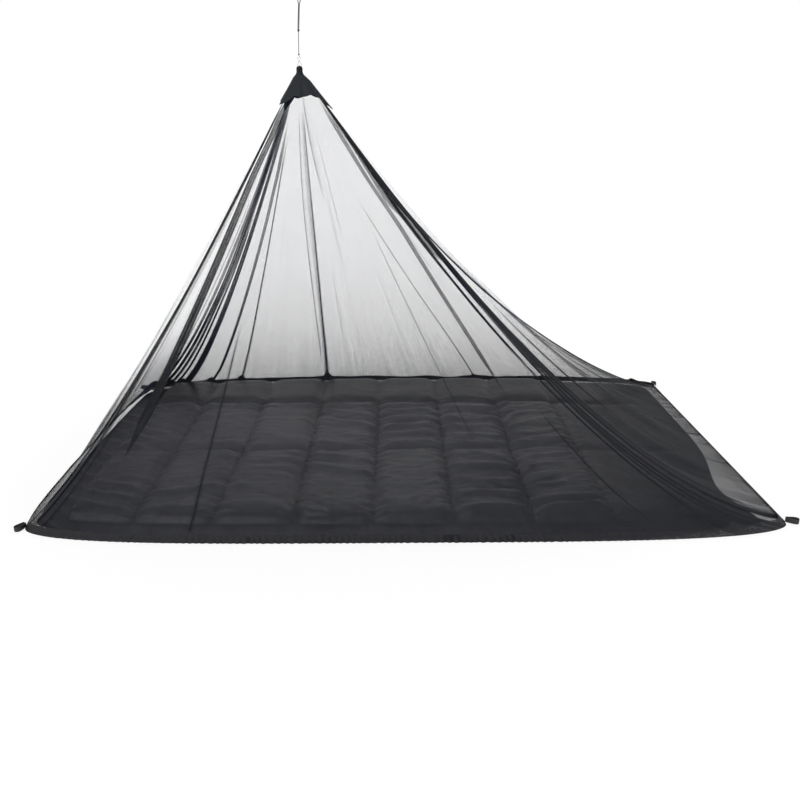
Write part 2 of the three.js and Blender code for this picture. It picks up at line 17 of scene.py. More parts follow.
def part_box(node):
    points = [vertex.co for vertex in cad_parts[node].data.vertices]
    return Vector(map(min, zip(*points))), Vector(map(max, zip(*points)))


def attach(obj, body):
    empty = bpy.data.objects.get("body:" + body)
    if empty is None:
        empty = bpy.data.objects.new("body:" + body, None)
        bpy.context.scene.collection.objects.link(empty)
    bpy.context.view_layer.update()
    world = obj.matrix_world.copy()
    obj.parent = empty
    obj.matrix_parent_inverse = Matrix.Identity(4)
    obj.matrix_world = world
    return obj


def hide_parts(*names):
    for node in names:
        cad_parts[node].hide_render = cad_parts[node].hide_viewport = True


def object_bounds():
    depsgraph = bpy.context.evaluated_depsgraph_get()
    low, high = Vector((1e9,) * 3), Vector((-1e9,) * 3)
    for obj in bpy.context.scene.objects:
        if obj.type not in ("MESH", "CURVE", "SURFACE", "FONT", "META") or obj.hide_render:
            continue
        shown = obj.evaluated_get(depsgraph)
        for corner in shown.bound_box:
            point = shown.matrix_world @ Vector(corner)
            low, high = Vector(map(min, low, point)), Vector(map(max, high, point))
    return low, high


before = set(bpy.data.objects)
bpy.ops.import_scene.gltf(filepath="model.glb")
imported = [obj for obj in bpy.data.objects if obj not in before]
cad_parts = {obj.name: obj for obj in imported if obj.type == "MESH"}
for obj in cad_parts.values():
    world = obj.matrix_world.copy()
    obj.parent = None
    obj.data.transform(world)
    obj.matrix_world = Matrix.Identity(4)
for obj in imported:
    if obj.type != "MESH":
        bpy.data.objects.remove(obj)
cad_low, cad_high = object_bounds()

print("solids:", len(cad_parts), "box:", [round(v, 3) for v in (*cad_low, *cad_high)])

# %% [markdown]
# ## The sizes that everything shares
#
# All lengths are metres. The peak is the point where the four ridges would meet, and each ridge
# falls from it to a corner of the hem. A ridge's height is (1 - share) to a power, where share
# runs from 0 at the peak to 1 at the hem, so a power above 1 makes it sag.

# %% Sizes of the net
HEM_LENGTH, HEM_DEPTH = 2.2, 1.2
PEAK = np.array([-0.32, 0.0, 1.25])
NECK_RADIUS = 0.006
HEM_FOOT = 0.0015
PANEL_FALL = 1.43

RIDGES = {
    "front_left": dict(x=-1, y=-1, high=1.22, low=1.25, cap=0.075),
    "front_right": dict(x=1, y=-1, high=1.5, low=1.75, cap=0.047),
    "back_right": dict(x=1, y=1, high=1.78, low=1.36, cap=0.047),
    "back_left": dict(x=-1, y=1, high=1.42, low=1.42, cap=0.072),
}
PANELS = {
    "net_front": dict(start="front_left", end="front_right", bow=0.110, bend=4, soften=0.42, taut=1.02),
    "net_right": dict(start="front_right", end="back_right", bow=0.0, bend=2.5, soften=0.65, taut=1.5),
    "net_back": dict(start="back_right", end="back_left", bow=0.110, bend=2.5, soften=0.65, taut=0.98),
    "net_left": dict(start="back_left", end="front_left", bow=0.025, bend=2.5, soften=0.65, taut=1.1),
}

# %% [markdown]
# ## Camera
#
# The camera stands in front of the long side, a little lower than the peak, and looks down by
# twenty degrees through a 35 mm lens.

# %% Camera
CAMERA_PLACE = Vector((-0.028, -2.604, 1.111))
CAMERA_PITCH, CAMERA_YAW, CAMERA_ROLL = (math.radians(a) for a in (20.0, 0.3, 0.2))
LENS, SENSOR_WIDTH = 35.1, 36  # both in millimetres
NET_LAYERS = 24  # a ray of light may pass so many layers of net


def camera_matrix():
    ahead = Vector((math.sin(CAMERA_YAW) * math.cos(CAMERA_PITCH),
                    math.cos(CAMERA_YAW) * math.cos(CAMERA_PITCH), -math.sin(CAMERA_PITCH)))
    level = Vector((math.cos(CAMERA_YAW), -math.sin(CAMERA_YAW), 0))
    down = ahead.cross(level)
    right = math.cos(CAMERA_ROLL) * level + math.sin(CAMERA_ROLL) * down
    down = ahead.cross(right)
    turn = Matrix((right, -down, -ahead)).transposed()
    return Matrix.Translation(CAMERA_PLACE) @ turn.to_4x4()


scene = bpy.context.scene
camera = bpy.data.objects.new("camera", bpy.data.cameras.new("camera"))
scene.collection.objects.link(camera)
camera.matrix_world = camera_matrix()
camera.data.lens = LENS
camera.data.sensor_width = SENSOR_WIDTH
scene.camera = camera
scene.cycles.transparent_max_bounces = NET_LAYERS
scene.view_settings.view_transform = "Standard"
print("camera at", tuple(round(v, 3) for v in camera.location))

# %% [markdown]
# ## Helpers for meshes and nodes
#
# Cloth is easiest to think of as a grid: rows run down the fall, columns run along the hem. One
# helper turns such a grid of points into a mesh with a texture map in metres, and stores numbers
# on its points that the materials read later.

# %% Mesh helpers
def smooth_step(value, low, high):
    """A rise from 0 at low to 1 at high that starts and ends gently."""
    share = np.clip((value - low) / (high - low), 0, 1)
    return share * share * (3 - 2 * share)


def blend(low, high, share):
    return low + (high - low) * share


def link_mesh(name, points, faces, material=None):
    """A smooth mesh piece in the scene, fixed to the root body."""
    mesh = bpy.data.meshes.new(name)
    mesh.from_pydata(np.asarray(points).reshape(-1, 3).tolist(), [], faces)
    mesh.polygons.foreach_set("use_smooth", [True] * len(mesh.polygons))
    mesh.update()
    piece = bpy.data.objects.new(name, mesh)
    scene.collection.objects.link(piece)
    if material:
        mesh.materials.append(material)
    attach(piece, "root")
    return piece


def grid_faces(rows, columns, ring=False):
    """Four-sided faces between rows of points. In a ring, the last column joins the first."""
    across = columns if ring else columns - 1
    row, column = np.meshgrid(np.arange(rows - 1), np.arange(across), indexing="ij")
    after = (column + 1) % columns
    corners = (row * columns + column, (row + 1) * columns + column,
               (row + 1) * columns + after, row * columns + after)
    return np.stack(corners, -1).reshape(-1, 4).tolist()


print("a grid of 3 by 4 points has", len(grid_faces(3, 4)), "faces")

# %% Maps, numbers and random hills
def set_map(piece, flat):
    """A texture map from one flat point, in metres, for each point of the mesh."""
    mesh = piece.data
    layer = mesh.uv_layers.new(name="cloth")
    corner = np.empty(len(mesh.loops), dtype=np.int32)
    mesh.loops.foreach_get("vertex_index", corner)
    layer.data.foreach_set("uv", np.asarray(flat).reshape(-1, 2)[corner].ravel())


def set_number(piece, name, values):
    """One number stored on each point of the mesh, for its material to read."""
    layer = piece.data.attributes.new(name, "FLOAT", "POINT")
    layer.data.foreach_set("value", np.asarray(values, dtype=np.float32).ravel())


def value_noise(x, y, seed):
    """Soft random hills about one unit apart, from -1 to 1, the same each run."""
    table = np.random.default_rng(seed).uniform(-1, 1, (64, 64))
    column, row = np.floor(x).astype(int), np.floor(y).astype(int)
    across, along = x - column, y - row
    across, along = (s * s * (3 - 2 * s) for s in (across, along))
    pick = lambda r, c: table[(row + r) % 64, (column + c) % 64]
    near = blend(pick(0, 0), pick(0, 1), across)
    far = blend(pick(1, 0), pick(1, 1), across)
    return blend(near, far, along)


print("random hills at one place:", round(float(value_noise(np.array(0.5), np.array(0.5), 1)), 3))

# %% Node helpers
class Nodes:
    """A short way to add nodes to a tree and join them."""

    def __init__(self, tree):
        self.tree = tree

    def add(self, kind, settings=None, **inputs):
        node = self.tree.nodes.new("ShaderNode" + kind)
        for name, value in (settings or {}).items():
            setattr(node, name, value)
        for name, value in inputs.items():
            self.put(node, name.replace("_", " "), value)
        return node

    def put(self, node, name, value):
        socket = node.inputs[int(name[1:])] if name[0] == "n" and name[1:].isdigit() else node.inputs[name]
        if isinstance(value, bpy.types.NodeSocket):
            self.tree.links.new(value, socket)
        else:
            socket.default_value = value

    def math(self, operation, first, second=0.0, third=None):
        inputs = dict(n0=first, n1=second)
        if third is not None:
            inputs["n2"] = third
        return self.add("Math", dict(operation=operation), **inputs).outputs[0]

    def vector(self, operation, first, second=(0, 0, 0), output=0):
        node = self.add("VectorMath", dict(operation=operation), n0=first, n1=second)
        return node.outputs[output]


print("nodes can:", [name for name in vars(Nodes) if name[0] != "_"])

# %% Groups and materials
def new_group(name, inputs, outputs):
    """A node group with named sockets: each input has a type and a value."""
    tree = bpy.data.node_groups.new(name, "ShaderNodeTree")
    for label, (kind, value) in inputs.items():
        socket = tree.interface.new_socket(label, in_out="INPUT", socket_type="NodeSocket" + kind)
        if value is not None:
            socket.default_value = value
    for label, kind in outputs.items():
        tree.interface.new_socket(label, in_out="OUTPUT", socket_type="NodeSocket" + kind)
    nodes = Nodes(tree)
    enter = tree.nodes.new("NodeGroupInput")
    leave = tree.nodes.new("NodeGroupOutput")
    return nodes, enter.outputs, leave


def new_material(name):
    material = bpy.data.materials.new(name)
    material.use_nodes = True
    nodes = Nodes(material.node_tree)
    shader = material.node_tree.nodes["Principled BSDF"]
    return material, nodes, shader


def use_group(nodes, group, **inputs):
    node = nodes.tree.nodes.new("ShaderNodeGroup")
    node.node_tree = group
    for name, value in inputs.items():
        nodes.put(node, name.replace("_", " "), value)
    return node.outputs


print("node groups so far:", len(bpy.data.node_groups))

# %% [markdown]
# ## Cord
#
# A thin braided cord runs from the swivel eye up to a knot, and above it the same cord is doubled
# into a loop that goes over a branch or a hook. It is held taut, so it is nearly straight. A
# swept mesh would do, but a curve with a round bevel needs only the points of its middle line.
# The route repeats the solid's, because a cord has one real length.

# %% Sizes of the cord and its fittings
CORD_LENGTH, CORD_DIAMETER = 0.060, 0.002
LOOP_LENGTH, LOOP_DIAMETER, LOOP_EYE = 0.080, 0.0024, 0.004
LEAN_MIDDLE, LEAN_KNOT, LEAN_LOOP = 0.001, 0.002, 0.008
SMALL_GAP = 0.0003


def on_line(height, aside=0.0):
    """A point on the upright line through the peak, or a little to its right."""
    return Vector((PEAK[0] + aside, PEAK[1], height))


print("the cord's line stands at", on_line(0.0).to_tuple(3))

# %% A wire along a smooth curve
def wire(name, points, radius, closed=False, smooth=6):
    """A round wire or cord along a smooth curve through the points."""
    curve = bpy.data.curves.new(name, "CURVE")
    curve.dimensions = "3D"
    curve.bevel_depth = 1.0  # times each point's own radius, which keeps the bounds true
    curve.bevel_resolution = 4
    curve.use_fill_caps = True
    fine = smooth_curve([Vector(p) for p in points], smooth, closed)
    spline = curve.splines.new("POLY")
    spline.points.add(len(fine) - 1)
    for target, point in zip(spline.points, fine):
        target.co = (*point, 1)
        target.radius = radius
    spline.use_cyclic_u = closed
    piece = bpy.data.objects.new(name, curve)
    scene.collection.objects.link(piece)
    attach(piece, "root")
    return piece


def smooth_curve(points, steps, closed):
    """More points, on a smooth curve that passes through the given ones."""
    count = len(points)
    fine = []
    for i in range(count if closed else count - 1):
        if closed:
            a, b, c, d = (points[(i + k) % count] for k in (-1, 0, 1, 2))
        else:
            a, b, c, d = points[max(i - 1, 0)], points[i], points[i + 1], points[min(i + 2, count - 1)]
        for k in range(steps):
            t = k / steps
            fine.append(0.5 * (2 * b + (c - a) * t + (2 * a - 5 * b + 4 * c - d) * t * t
                               + (3 * b - a - 3 * c + d) * t ** 3))
    return fine if closed else [*fine, points[-1]]


corner_test = smooth_curve([Vector((0, 0, 0)), Vector((1, 0, 0)), Vector((1, 1, 0))], 6, False)
print("three points become", len(corner_test))

# %% The cord
cord_low, cord_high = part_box("cord")
cord_foot, cord_top = cord_low.z, cord_high.z
cord = wire("cord_strand", [on_line(cord_foot), on_line(cord_foot + 0.5 * CORD_LENGTH, LEAN_MIDDLE),
                            on_line(cord_top, LEAN_KNOT)], CORD_DIAMETER / 2)
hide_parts("cord")
print("cord", round(cord_top - cord_foot, 4))

# %% The doubled loop
loop_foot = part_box("cord_loop")[0].z
loop_top = loop_foot + LOOP_LENGTH


def leaning(height, aside):
    share = (height - loop_foot) / LOOP_LENGTH
    return on_line(height, blend(LEAN_KNOT, LEAN_LOOP, share) + aside)


def loop_strand(side):
    beside = LOOP_DIAMETER / 2 + SMALL_GAP / 2
    return [leaning(loop_foot, side * beside), leaning(loop_foot + 0.45 * LOOP_LENGTH, side * beside),
            leaning(loop_top - 3.4 * LOOP_EYE, side * beside),
            leaning(loop_top - 1.2 * LOOP_EYE, side * 0.95 * LOOP_EYE),
            leaning(loop_top - 0.25 * LOOP_EYE, side * 0.6 * LOOP_EYE)]


loop_path = [*loop_strand(-1), leaning(loop_top, 0), *reversed(loop_strand(1))]
loop = wire("cord_doubled", loop_path, LOOP_DIAMETER / 2)
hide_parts("cord_loop")


# %% Knots
KNOT_POINTS, TIE_RADIUS = 36, 0.0008


def knot(name, node, yarn):
    """Yarn wound as an overhand knot that fills the node's box."""
    low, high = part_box(node)
    middle, size = (low + high) / 2, high - low
    reach = Vector((size.x / 2 - yarn, size.y / 2 - yarn, size.z / 2 - yarn))
    points = []
    for step in range(KNOT_POINTS):
        t = 2 * math.pi * step / KNOT_POINTS
        points.append(middle + Vector((reach.x * (math.sin(t) + 1.6 * math.sin(2 * t)) / 2.6,
                                       reach.y * (math.cos(t) - 1.6 * math.cos(2 * t)) / 2.6,
                                       reach.z * math.sin(3 * t))))
    piece = wire(name, points, yarn, closed=True, smooth=3)
    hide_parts(node)
    return piece


lower_knot = knot("knot_at_eye", "lower_knot", 0.0010)
upper_knot = knot("knot_under_loop", "upper_knot", 0.0013)
tie_low, tie_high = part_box("tie_loop")
tie_middle, tie_reach = (tie_low + tie_high) / 2, (tie_high.z - tie_low.z) / 2 - TIE_RADIUS
tie = wire("tie_through_eye",
           [tie_middle + tie_reach * Vector((0, math.cos(a), math.sin(a)))
            for a in np.linspace(0, 2 * math.pi, 16, endpoint=False)], TIE_RADIUS, closed=True)
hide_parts("tie_loop")

print("knots made")

# %% [markdown]
# ## Shared effects
#
# Three effects turn up in more than one finish, so each is a node group. *Netting* says where
# yarn covers a six-sided mesh. *Plain weave* gives the height of crossed threads. *Dyed tone*
# makes a colour drift a little, as dyed cloth does. A picture of net or cloth could be laid on
# instead. Cells and threads that are worked out from the map have real sizes and stay sharp.

# %% Netting group
FAR_CELLS = 4000.0  # keeps the cell count positive over the whole net


def combine(nodes, x, y, z):
    return nodes.add("CombineXYZ", X=x, Y=y, Z=z).outputs[0]


def cell_offset(nodes, place, shift, pitch):
    """Where a point lies in one of the two rows of cells that make up the mesh."""
    moved = nodes.vector("ADD", place, (FAR_CELLS + shift[0], FAR_CELLS + shift[1], 0.0))
    wrapped = nodes.vector("MODULO", moved, (*pitch, 1.0))
    centred = nodes.vector("SUBTRACT", wrapped, (pitch[0] / 2, pitch[1] / 2, 0.0))
    return nodes.vector("MULTIPLY", centred, (1.0, 1.0, 0.0))


def make_netting():
    """A six-sided mesh: yarn lies where a point is far from its cell's middle."""
    nodes, enter, leave = new_group(
        "netting",
        {"Flat": ("Vector", None), "Cell": ("Float", 0.0016), "Cover": ("Float", 0.2)},
        {"Yarn": "Float", "Height": "Float"})
    root = math.sqrt(3.0)
    place = nodes.vector("DIVIDE", enter["Flat"], combine(nodes, enter["Cell"], enter["Cell"], 1.0))
    first = cell_offset(nodes, place, (0.0, 0.0), (1.0, root))
    second = cell_offset(nodes, place, (0.5, root / 2), (1.0, root))
    nearer = nodes.math("LESS_THAN", nodes.vector("LENGTH", first, output=1),
                        nodes.vector("LENGTH", second, output=1))
    swap = nodes.vector("SCALE", nodes.vector("SUBTRACT", first, second))
    nodes.put(swap.node, "Scale", nearer)
    inside = nodes.vector("ABSOLUTE", nodes.vector("ADD", second, swap))
    split = nodes.add("SeparateXYZ", Vector=inside).outputs
    slanted = nodes.math("ADD", nodes.math("MULTIPLY", split[0], 0.5),
                         nodes.math("MULTIPLY", split[1], root / 2))
    far = nodes.math("MAXIMUM", split[0], slanted)
    edge = nodes.math("MULTIPLY", nodes.math("SQRT", nodes.math("SUBTRACT", 1.0, enter["Cover"])), 0.5)
    nodes.tree.links.new(nodes.math("GREATER_THAN", far, edge), leave.inputs["Yarn"])
    nodes.tree.links.new(far, leave.inputs["Height"])
    return nodes.tree


NETTING = make_netting()
print("group:", NETTING.name, "with", len(NETTING.nodes), "nodes")

# %% Weave and tone groups
def make_weave():
    """Crossed threads: a height from 0 to 1 that peaks where a thread lies on top."""
    nodes, enter, leave = new_group(
        "plain weave", {"Flat": ("Vector", None), "Thread": ("Float", 0.0006)}, {"Height": "Float"})
    scaled = nodes.vector("SCALE", enter["Flat"])
    nodes.put(scaled.node, "Scale", nodes.math("DIVIDE", math.pi, enter["Thread"]))
    split = nodes.add("SeparateXYZ", Vector=scaled).outputs
    crossed = nodes.math("MULTIPLY", nodes.math("SINE", split[0]), nodes.math("SINE", split[1]))
    nodes.tree.links.new(nodes.math("MULTIPLY_ADD", crossed, 0.5, 0.5), leave.inputs["Height"])
    return nodes.tree


def make_tone():
    """A colour whose strength drifts in soft patches, and the patches as a mask."""
    nodes, enter, leave = new_group(
        "dyed tone",
        {"Place": ("Vector", None), "Colour": ("Color", (0.05, 0.05, 0.05, 1)),
         "Patch": ("Float", 12.0), "Drift": ("Float", 0.15)},
        {"Colour": "Color", "Mask": "Float"})
    noise = nodes.add("TexNoise", Vector=enter["Place"], Scale=enter["Patch"], Detail=4.0).outputs[0]
    drift = nodes.math("MULTIPLY", nodes.math("SUBTRACT", noise, 0.5),
                       nodes.math("MULTIPLY", enter["Drift"], 2.0))
    scale = nodes.vector("SCALE", enter["Colour"])
    nodes.put(scale.node, "Scale", nodes.math("ADD", 1.0, drift))
    nodes.tree.links.new(scale, leave.inputs["Colour"])
    nodes.tree.links.new(noise, leave.inputs["Mask"])
    return nodes.tree


WEAVE = make_weave()
TONE = make_tone()
print("groups:", [g.name for g in bpy.data.node_groups])

# %% [markdown]
# ## Finishes
#
# The net is knitted from black polyester. How much of the light it stops is a number stored on
# its points: little near the top, more near the ground, and most along pleats and gathers.
# Fine streaks run down the fall, where the knitting is drawn together a little.

# %% Net yarn
NET_CELL, HEM_CELL = 0.0016, 0.0013
# Where the net is thin, its yarn takes a bluish colour: a painted sheen, not the black yarn's own colour.
NET_YARN, THIN_YARN_PAINTED_SHEEN = (0.014, 0.015, 0.019, 1), (0.034, 0.054, 0.120, 1)
HEM_YARN = (0.013, 0.013, 0.016, 1)


def net_material():
    material, nodes, shader = new_material("black mosquito netting")
    flat = nodes.add("UVMap", dict(uv_map="cloth")).outputs[0]
    cover, place, share = (nodes.add("Attribute", dict(attribute_name=name)).outputs["Fac"]
                           for name in ("cover", "fall_place", "fall_share"))
    down = combine(nodes, nodes.math("MULTIPLY", place, 46.0), nodes.math("MULTIPLY", share, 1.3), 0.0)
    streaks = nodes.add("TexNoise", dict(noise_dimensions="2D"), Vector=down, Scale=1.0, Detail=5.0,
                        Roughness=0.7).outputs[0]
    gain = nodes.add("MapRange", Value=streaks, From_Min=0.35, From_Max=0.72, To_Min=0.90, To_Max=1.14)
    streaked = nodes.math("MINIMUM", nodes.math("MULTIPLY", cover, gain.outputs[0]), 0.97)
    mesh = use_group(nodes, NETTING, Flat=flat, Cell=NET_CELL, Cover=streaked)
    # Painted sheen: the thinner the net, the more its yarn turns to the bluish sheen colour.
    painted_sheen_share = nodes.add("MapRange", Value=cover, From_Min=0.12, From_Max=0.24, To_Min=1.0, To_Max=0.0)
    yarn = nodes.add("Mix", dict(data_type="RGBA"))
    nodes.put(yarn, "n0", painted_sheen_share.outputs[0])
    yarn.inputs[6].default_value, yarn.inputs[7].default_value = NET_YARN, THIN_YARN_PAINTED_SHEEN
    tone = use_group(nodes, TONE, Place=flat, Colour=yarn.outputs[2], Patch=30.0, Drift=0.25)
    nodes.put(shader, "Base Color", tone["Colour"])
    nodes.put(shader, "Alpha", mesh["Yarn"])
    shader.inputs["Roughness"].default_value = 0.75
    shader.inputs["Specular IOR Level"].default_value = 0.15
    return material


def hem_material():
    material, nodes, shader = new_material("gathered netting hem")
    flat = nodes.add("UVMap", dict(uv_map="cloth")).outputs[0]
    cover = nodes.add("Attribute", dict(attribute_name="cover")).outputs["Fac"]
    mesh = use_group(nodes, NETTING, Flat=flat, Cell=HEM_CELL, Cover=cover)
    tone = use_group(nodes, TONE, Place=flat, Colour=HEM_YARN, Patch=60.0, Drift=0.5)
    bump = nodes.add("Bump", Height=mesh["Height"], Strength=0.4, Distance=0.0006)
    nodes.put(shader, "Base Color", tone["Colour"])
    nodes.put(shader, "Alpha", mesh["Yarn"])
    nodes.put(shader, "Normal", bump.outputs[0])
    shader.inputs["Roughness"].default_value = 0.6
    shader.inputs["Specular IOR Level"].default_value = 0.25
    return material


NET, HEM = net_material(), hem_material()
print("net finishes:", NET.name, "/", HEM.name)

# %% Woven cloths
def woven_material(name, colour, thread, roughness, patch, drift, weave_depth, crease_depth=0.0, toned_with_painted_shade=False,
                   gleam=0.5):
    """Plain weave with unevenly dyed colour and gloss. It may be creased, and a number on its points may
    scale its colour: tone with painted shade.
    """
    material, nodes, shader = new_material(name)
    flat = nodes.add("UVMap", dict(uv_map="cloth")).outputs[0]
    weave = use_group(nodes, WEAVE, Flat=flat, Thread=thread)
    tone = use_group(nodes, TONE, Place=flat, Colour=colour, Patch=patch, Drift=drift)
    fibres = nodes.add("TexNoise", Vector=flat, Scale=900.0, Detail=3.0).outputs[0]
    height = nodes.math("MULTIPLY_ADD", fibres, 0.3, nodes.math("MULTIPLY", weave["Height"], 0.7))
    bump = nodes.add("Bump", Height=height, Strength=0.5, Distance=weave_depth)
    if crease_depth:
        creases = nodes.add("TexNoise", Vector=flat, Scale=38.0, Detail=5.0, Roughness=0.6,
                            Distortion=0.8).outputs[0]
        bump = nodes.add("Bump", Height=creases, Strength=0.6, Distance=crease_depth,
                         Normal=bump.outputs[0])
    gloss = nodes.add("MapRange", Value=tone["Mask"], To_Min=roughness - 0.07, To_Max=roughness + 0.07)
    dye_and_painted_shade = tone["Colour"]
    # On the mat the number on its points holds painted shade, paler on crests and darker in valleys, as well
    # as the cloth's tone.
    if toned_with_painted_shade:
        dye_and_painted_shade = nodes.vector("SCALE", dye_and_painted_shade)
        nodes.put(dye_and_painted_shade.node, "Scale", nodes.add("Attribute", dict(attribute_name="tone")).outputs["Fac"])
    nodes.put(shader, "Base Color", dye_and_painted_shade)
    shader.inputs["Specular IOR Level"].default_value = gleam
    nodes.put(shader, "Roughness", gloss.outputs[0])
    nodes.put(shader, "Normal", bump.outputs[0])
    return material


CAP = woven_material("grey woven polyester", (0.008, 0.0105, 0.0135, 1), thread=0.0007, roughness=0.6,
                     patch=20.0, drift=0.2, weave_depth=0.0003, crease_depth=0.002, gleam=0.2)
MAT = woven_material("dark downproof nylon", (0.027, 0.0272, 0.037, 1), thread=0.0005, roughness=0.40,
                     patch=7.0, drift=0.2, weave_depth=0.00015, crease_depth=0.0036, toned_with_painted_shade=True)
BINDING = woven_material("dark binding tape", (0.020, 0.020, 0.023, 1), thread=0.0009, roughness=0.6,
                         patch=30.0, drift=0.2, weave_depth=0.0004)
TAPE = woven_material("black peg tape", (0.012, 0.012, 0.014, 1), thread=0.0011, roughness=0.6,
                      patch=40.0, drift=0.3, weave_depth=0.0006)
THREAD = woven_material("dark sewing thread", (0.026, 0.026, 0.031, 1), thread=0.0004, roughness=0.5,
                        patch=200.0, drift=0.3, weave_depth=0.0002)
print("woven finishes:", CAP.name, MAT.name, BINDING.name, TAPE.name, THREAD.name)

# %% Cord yarn and steel
def cord_material():
    material, nodes, shader = new_material("braided cord")
    place = nodes.add("TexCoord").outputs["Object"]
    braid = nodes.add("TexWave", dict(wave_type="BANDS", bands_direction="DIAGONAL"), Vector=place,
                      Scale=420.0, Distortion=0.6)
    tone = use_group(nodes, TONE, Place=place, Colour=(0.05, 0.055, 0.06, 1), Patch=400.0, Drift=0.3)
    bump = nodes.add("Bump", Height=braid.outputs["Fac"], Strength=0.8, Distance=0.0003)
    nodes.put(shader, "Base Color", tone["Colour"])
    nodes.put(shader, "Normal", bump.outputs[0])
    shader.inputs["Roughness"].default_value = 0.7
    return material


def steel_material():
    material, nodes, shader = new_material("bright plated steel")
    place = nodes.add("TexCoord").outputs["Object"]
    scratches = nodes.add("TexNoise", Vector=place, Scale=700.0, Detail=3.0).outputs[0]
    tone = use_group(nodes, TONE, Place=place, Colour=(0.62, 0.62, 0.64, 1), Patch=200.0, Drift=0.08)
    gloss = nodes.add("MapRange", Value=scratches, To_Min=0.16, To_Max=0.34)
    nodes.put(shader, "Base Color", tone["Colour"])
    nodes.put(shader, "Roughness", gloss.outputs[0])
    shader.inputs["Metallic"].default_value = 1.0
    return material


CORD_YARN, STEEL = cord_material(), steel_material()
for piece in (cord, loop, lower_knot, upper_knot, tie):
    piece.data.materials.append(CORD_YARN)
print("cord and steel:", CORD_YARN.name, "/", STEEL.name)

# %% [markdown]
# ## Hook, swivel and hanging loop
#
# The cap's neck ends in a loop of narrow tape. A small bright hook goes through it, and a barrel
# and an eye above let the cord turn. Each is drawn finer inside its solid's box: bent wire as a
# curve with a round bevel, and the barrel as one outline turned about its axis, as on a lathe.

# %% Hanging tape, hook and eye
def fitting(name, node, points, radius, material, closed=True):
    """A wire in its own material that replaces a small solid."""
    piece = wire(name, points, radius, closed)
    piece.data.materials.append(material)
    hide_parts(node)


TAPE_RADIUS = 0.0012
tape_low, tape_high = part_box("hanging_loop")
tape_reach = (tape_high.y - tape_low.y) / 2 - TAPE_RADIUS
tape_rise = tape_high.z - tape_low.z - TAPE_RADIUS
TAPE_ROWS = ((-1, 0.0), (-1, 0.5), (-0.65, 0.85), (0, 1.0), (0.65, 0.85), (1, 0.5), (1, 0.0))
fitting("hanging_tape", "hanging_loop",
        [Vector((PEAK[0], out * tape_reach, tape_low.z + up * tape_rise)) for out, up in TAPE_ROWS],
        TAPE_RADIUS, TAPE, closed=False)

HOOK_WIRE, HOOK_LEFT, HOOK_RIGHT, HOOK_HEIGHT = 0.001, 0.005, 0.0065, 0.0144
hook_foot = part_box("snap_hook")[0].z + HOOK_WIRE
HOOK_ROWS = ((0, 0), (0.14, 0.75), (0.42, 1), (0.78, 0.6), (1, 0), (0.78, -0.6), (0.42, -1), (0.14, -0.75))
fitting("hook_wire", "snap_hook",
        [on_line(hook_foot + up * HOOK_HEIGHT, out * (HOOK_RIGHT if out > 0 else HOOK_LEFT))
         for up, out in HOOK_ROWS], HOOK_WIRE, STEEL)

EYE_WIRE = 0.0009
eye_low, eye_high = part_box("swivel_eye")
eye_reach = (eye_high.z - eye_low.z) / 2 - EYE_WIRE
fitting("swivel_ring", "swivel_eye",
        [(eye_low + eye_high) / 2 + eye_reach * Vector((math.cos(a), 0, math.sin(a)))
         for a in np.linspace(0, 2 * math.pi, 16, endpoint=False)], EYE_WIRE, STEEL)

# %% Swivel barrel
BARREL_ROWS = ((0.7, 0), (0.98, 0.04), (0.98, 0.34), (0.78, 0.42), (0.78, 0.58), (0.98, 0.66), (0.98, 0.96),
               (0.7, 1))
BARREL_SIDES = 24


def turned(name, node, rows, material, slot):
    """A round body on a vertical axis: rows hold a share of the radius and of the height."""
    low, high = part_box(node)
    middle, size = (low + high) / 2, high - low
    points = [middle + Vector((size.x / 2 * out * math.cos(a), size.y / 2 * out * math.sin(a),
                               (up - 0.5) * size.z))
              for out, up in rows for a in np.linspace(0, 2 * math.pi, BARREL_SIDES, endpoint=False)]
    faces = [face[::-1] for face in grid_faces(len(rows), BARREL_SIDES, ring=True)]
    faces += [list(range(BARREL_SIDES))[::-1], list(range(len(points) - BARREL_SIDES, len(points)))]
    piece = link_mesh(name, [tuple(p) for p in points], faces, material)
    set_map(piece, [(p.x, p.z) for p in points])
    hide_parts(node)


turned("swivel_body", "swivel_barrel", BARREL_ROWS, STEEL, "steel")
print("hook, eye and barrel made")

# %% [markdown]
# ## The net's surface
#
# Each panel is a fan of lines from the peak to the hem. A point is named by its place along the
# hem, from -1 to 1, and its share of the way down. Broad soft folds stand a few centimetres off
# this surface, as on the solids. Narrow pleats are real Z-folds: the cloth turns back on itself,
# so three layers lie together and stop more light. Cloth simulation could drape the net, but it
# would choose the places of the pleats by itself, so the sheets are worked out instead.

# %% The hem line
def corner_of(ridge):
    """The corner of the hem at the foot of a ridge."""
    return np.array([RIDGES[ridge]["x"] * HEM_LENGTH / 2, RIDGES[ridge]["y"] * HEM_DEPTH / 2])


def bow_share(panel, place):
    """How much of its bow the hem has at each place, from 0 at the corners to 1."""
    return (1 - np.minimum(np.abs(place), 1) ** panel["bend"]) ** panel["soften"]


def hem_points(panel, place):
    """Points of the hem line on the ground, one for each place along it."""
    start, end = corner_of(panel["start"]), corner_of(panel["end"])
    along = (end - start) / np.linalg.norm(end - start)
    outward = np.array([along[1], -along[0]])
    bow = panel["bow"] * bow_share(panel, place)
    return start + (end - start) * ((place + 1) / 2)[..., None] + outward * bow[..., None]


hem_middles = {name: hem_points(panel, np.array(0.0)) for name, panel in PANELS.items()}
print("hem middles:", {name: middle.round(3).tolist() for name, middle in hem_middles.items()})

# %% Surface of a panel
def fall_power(panel, place, share):
    """The power that the height follows: the ridges' own at the sides, the panel's in the middle."""
    start, end = RIDGES[panel["start"]], RIDGES[panel["end"]]
    ridges = blend(blend(start["high"], start["low"], share), blend(end["high"], end["low"], share),
                   (place + 1) / 2)
    return blend(panel["taut"], ridges, np.abs(place) ** 2.2)


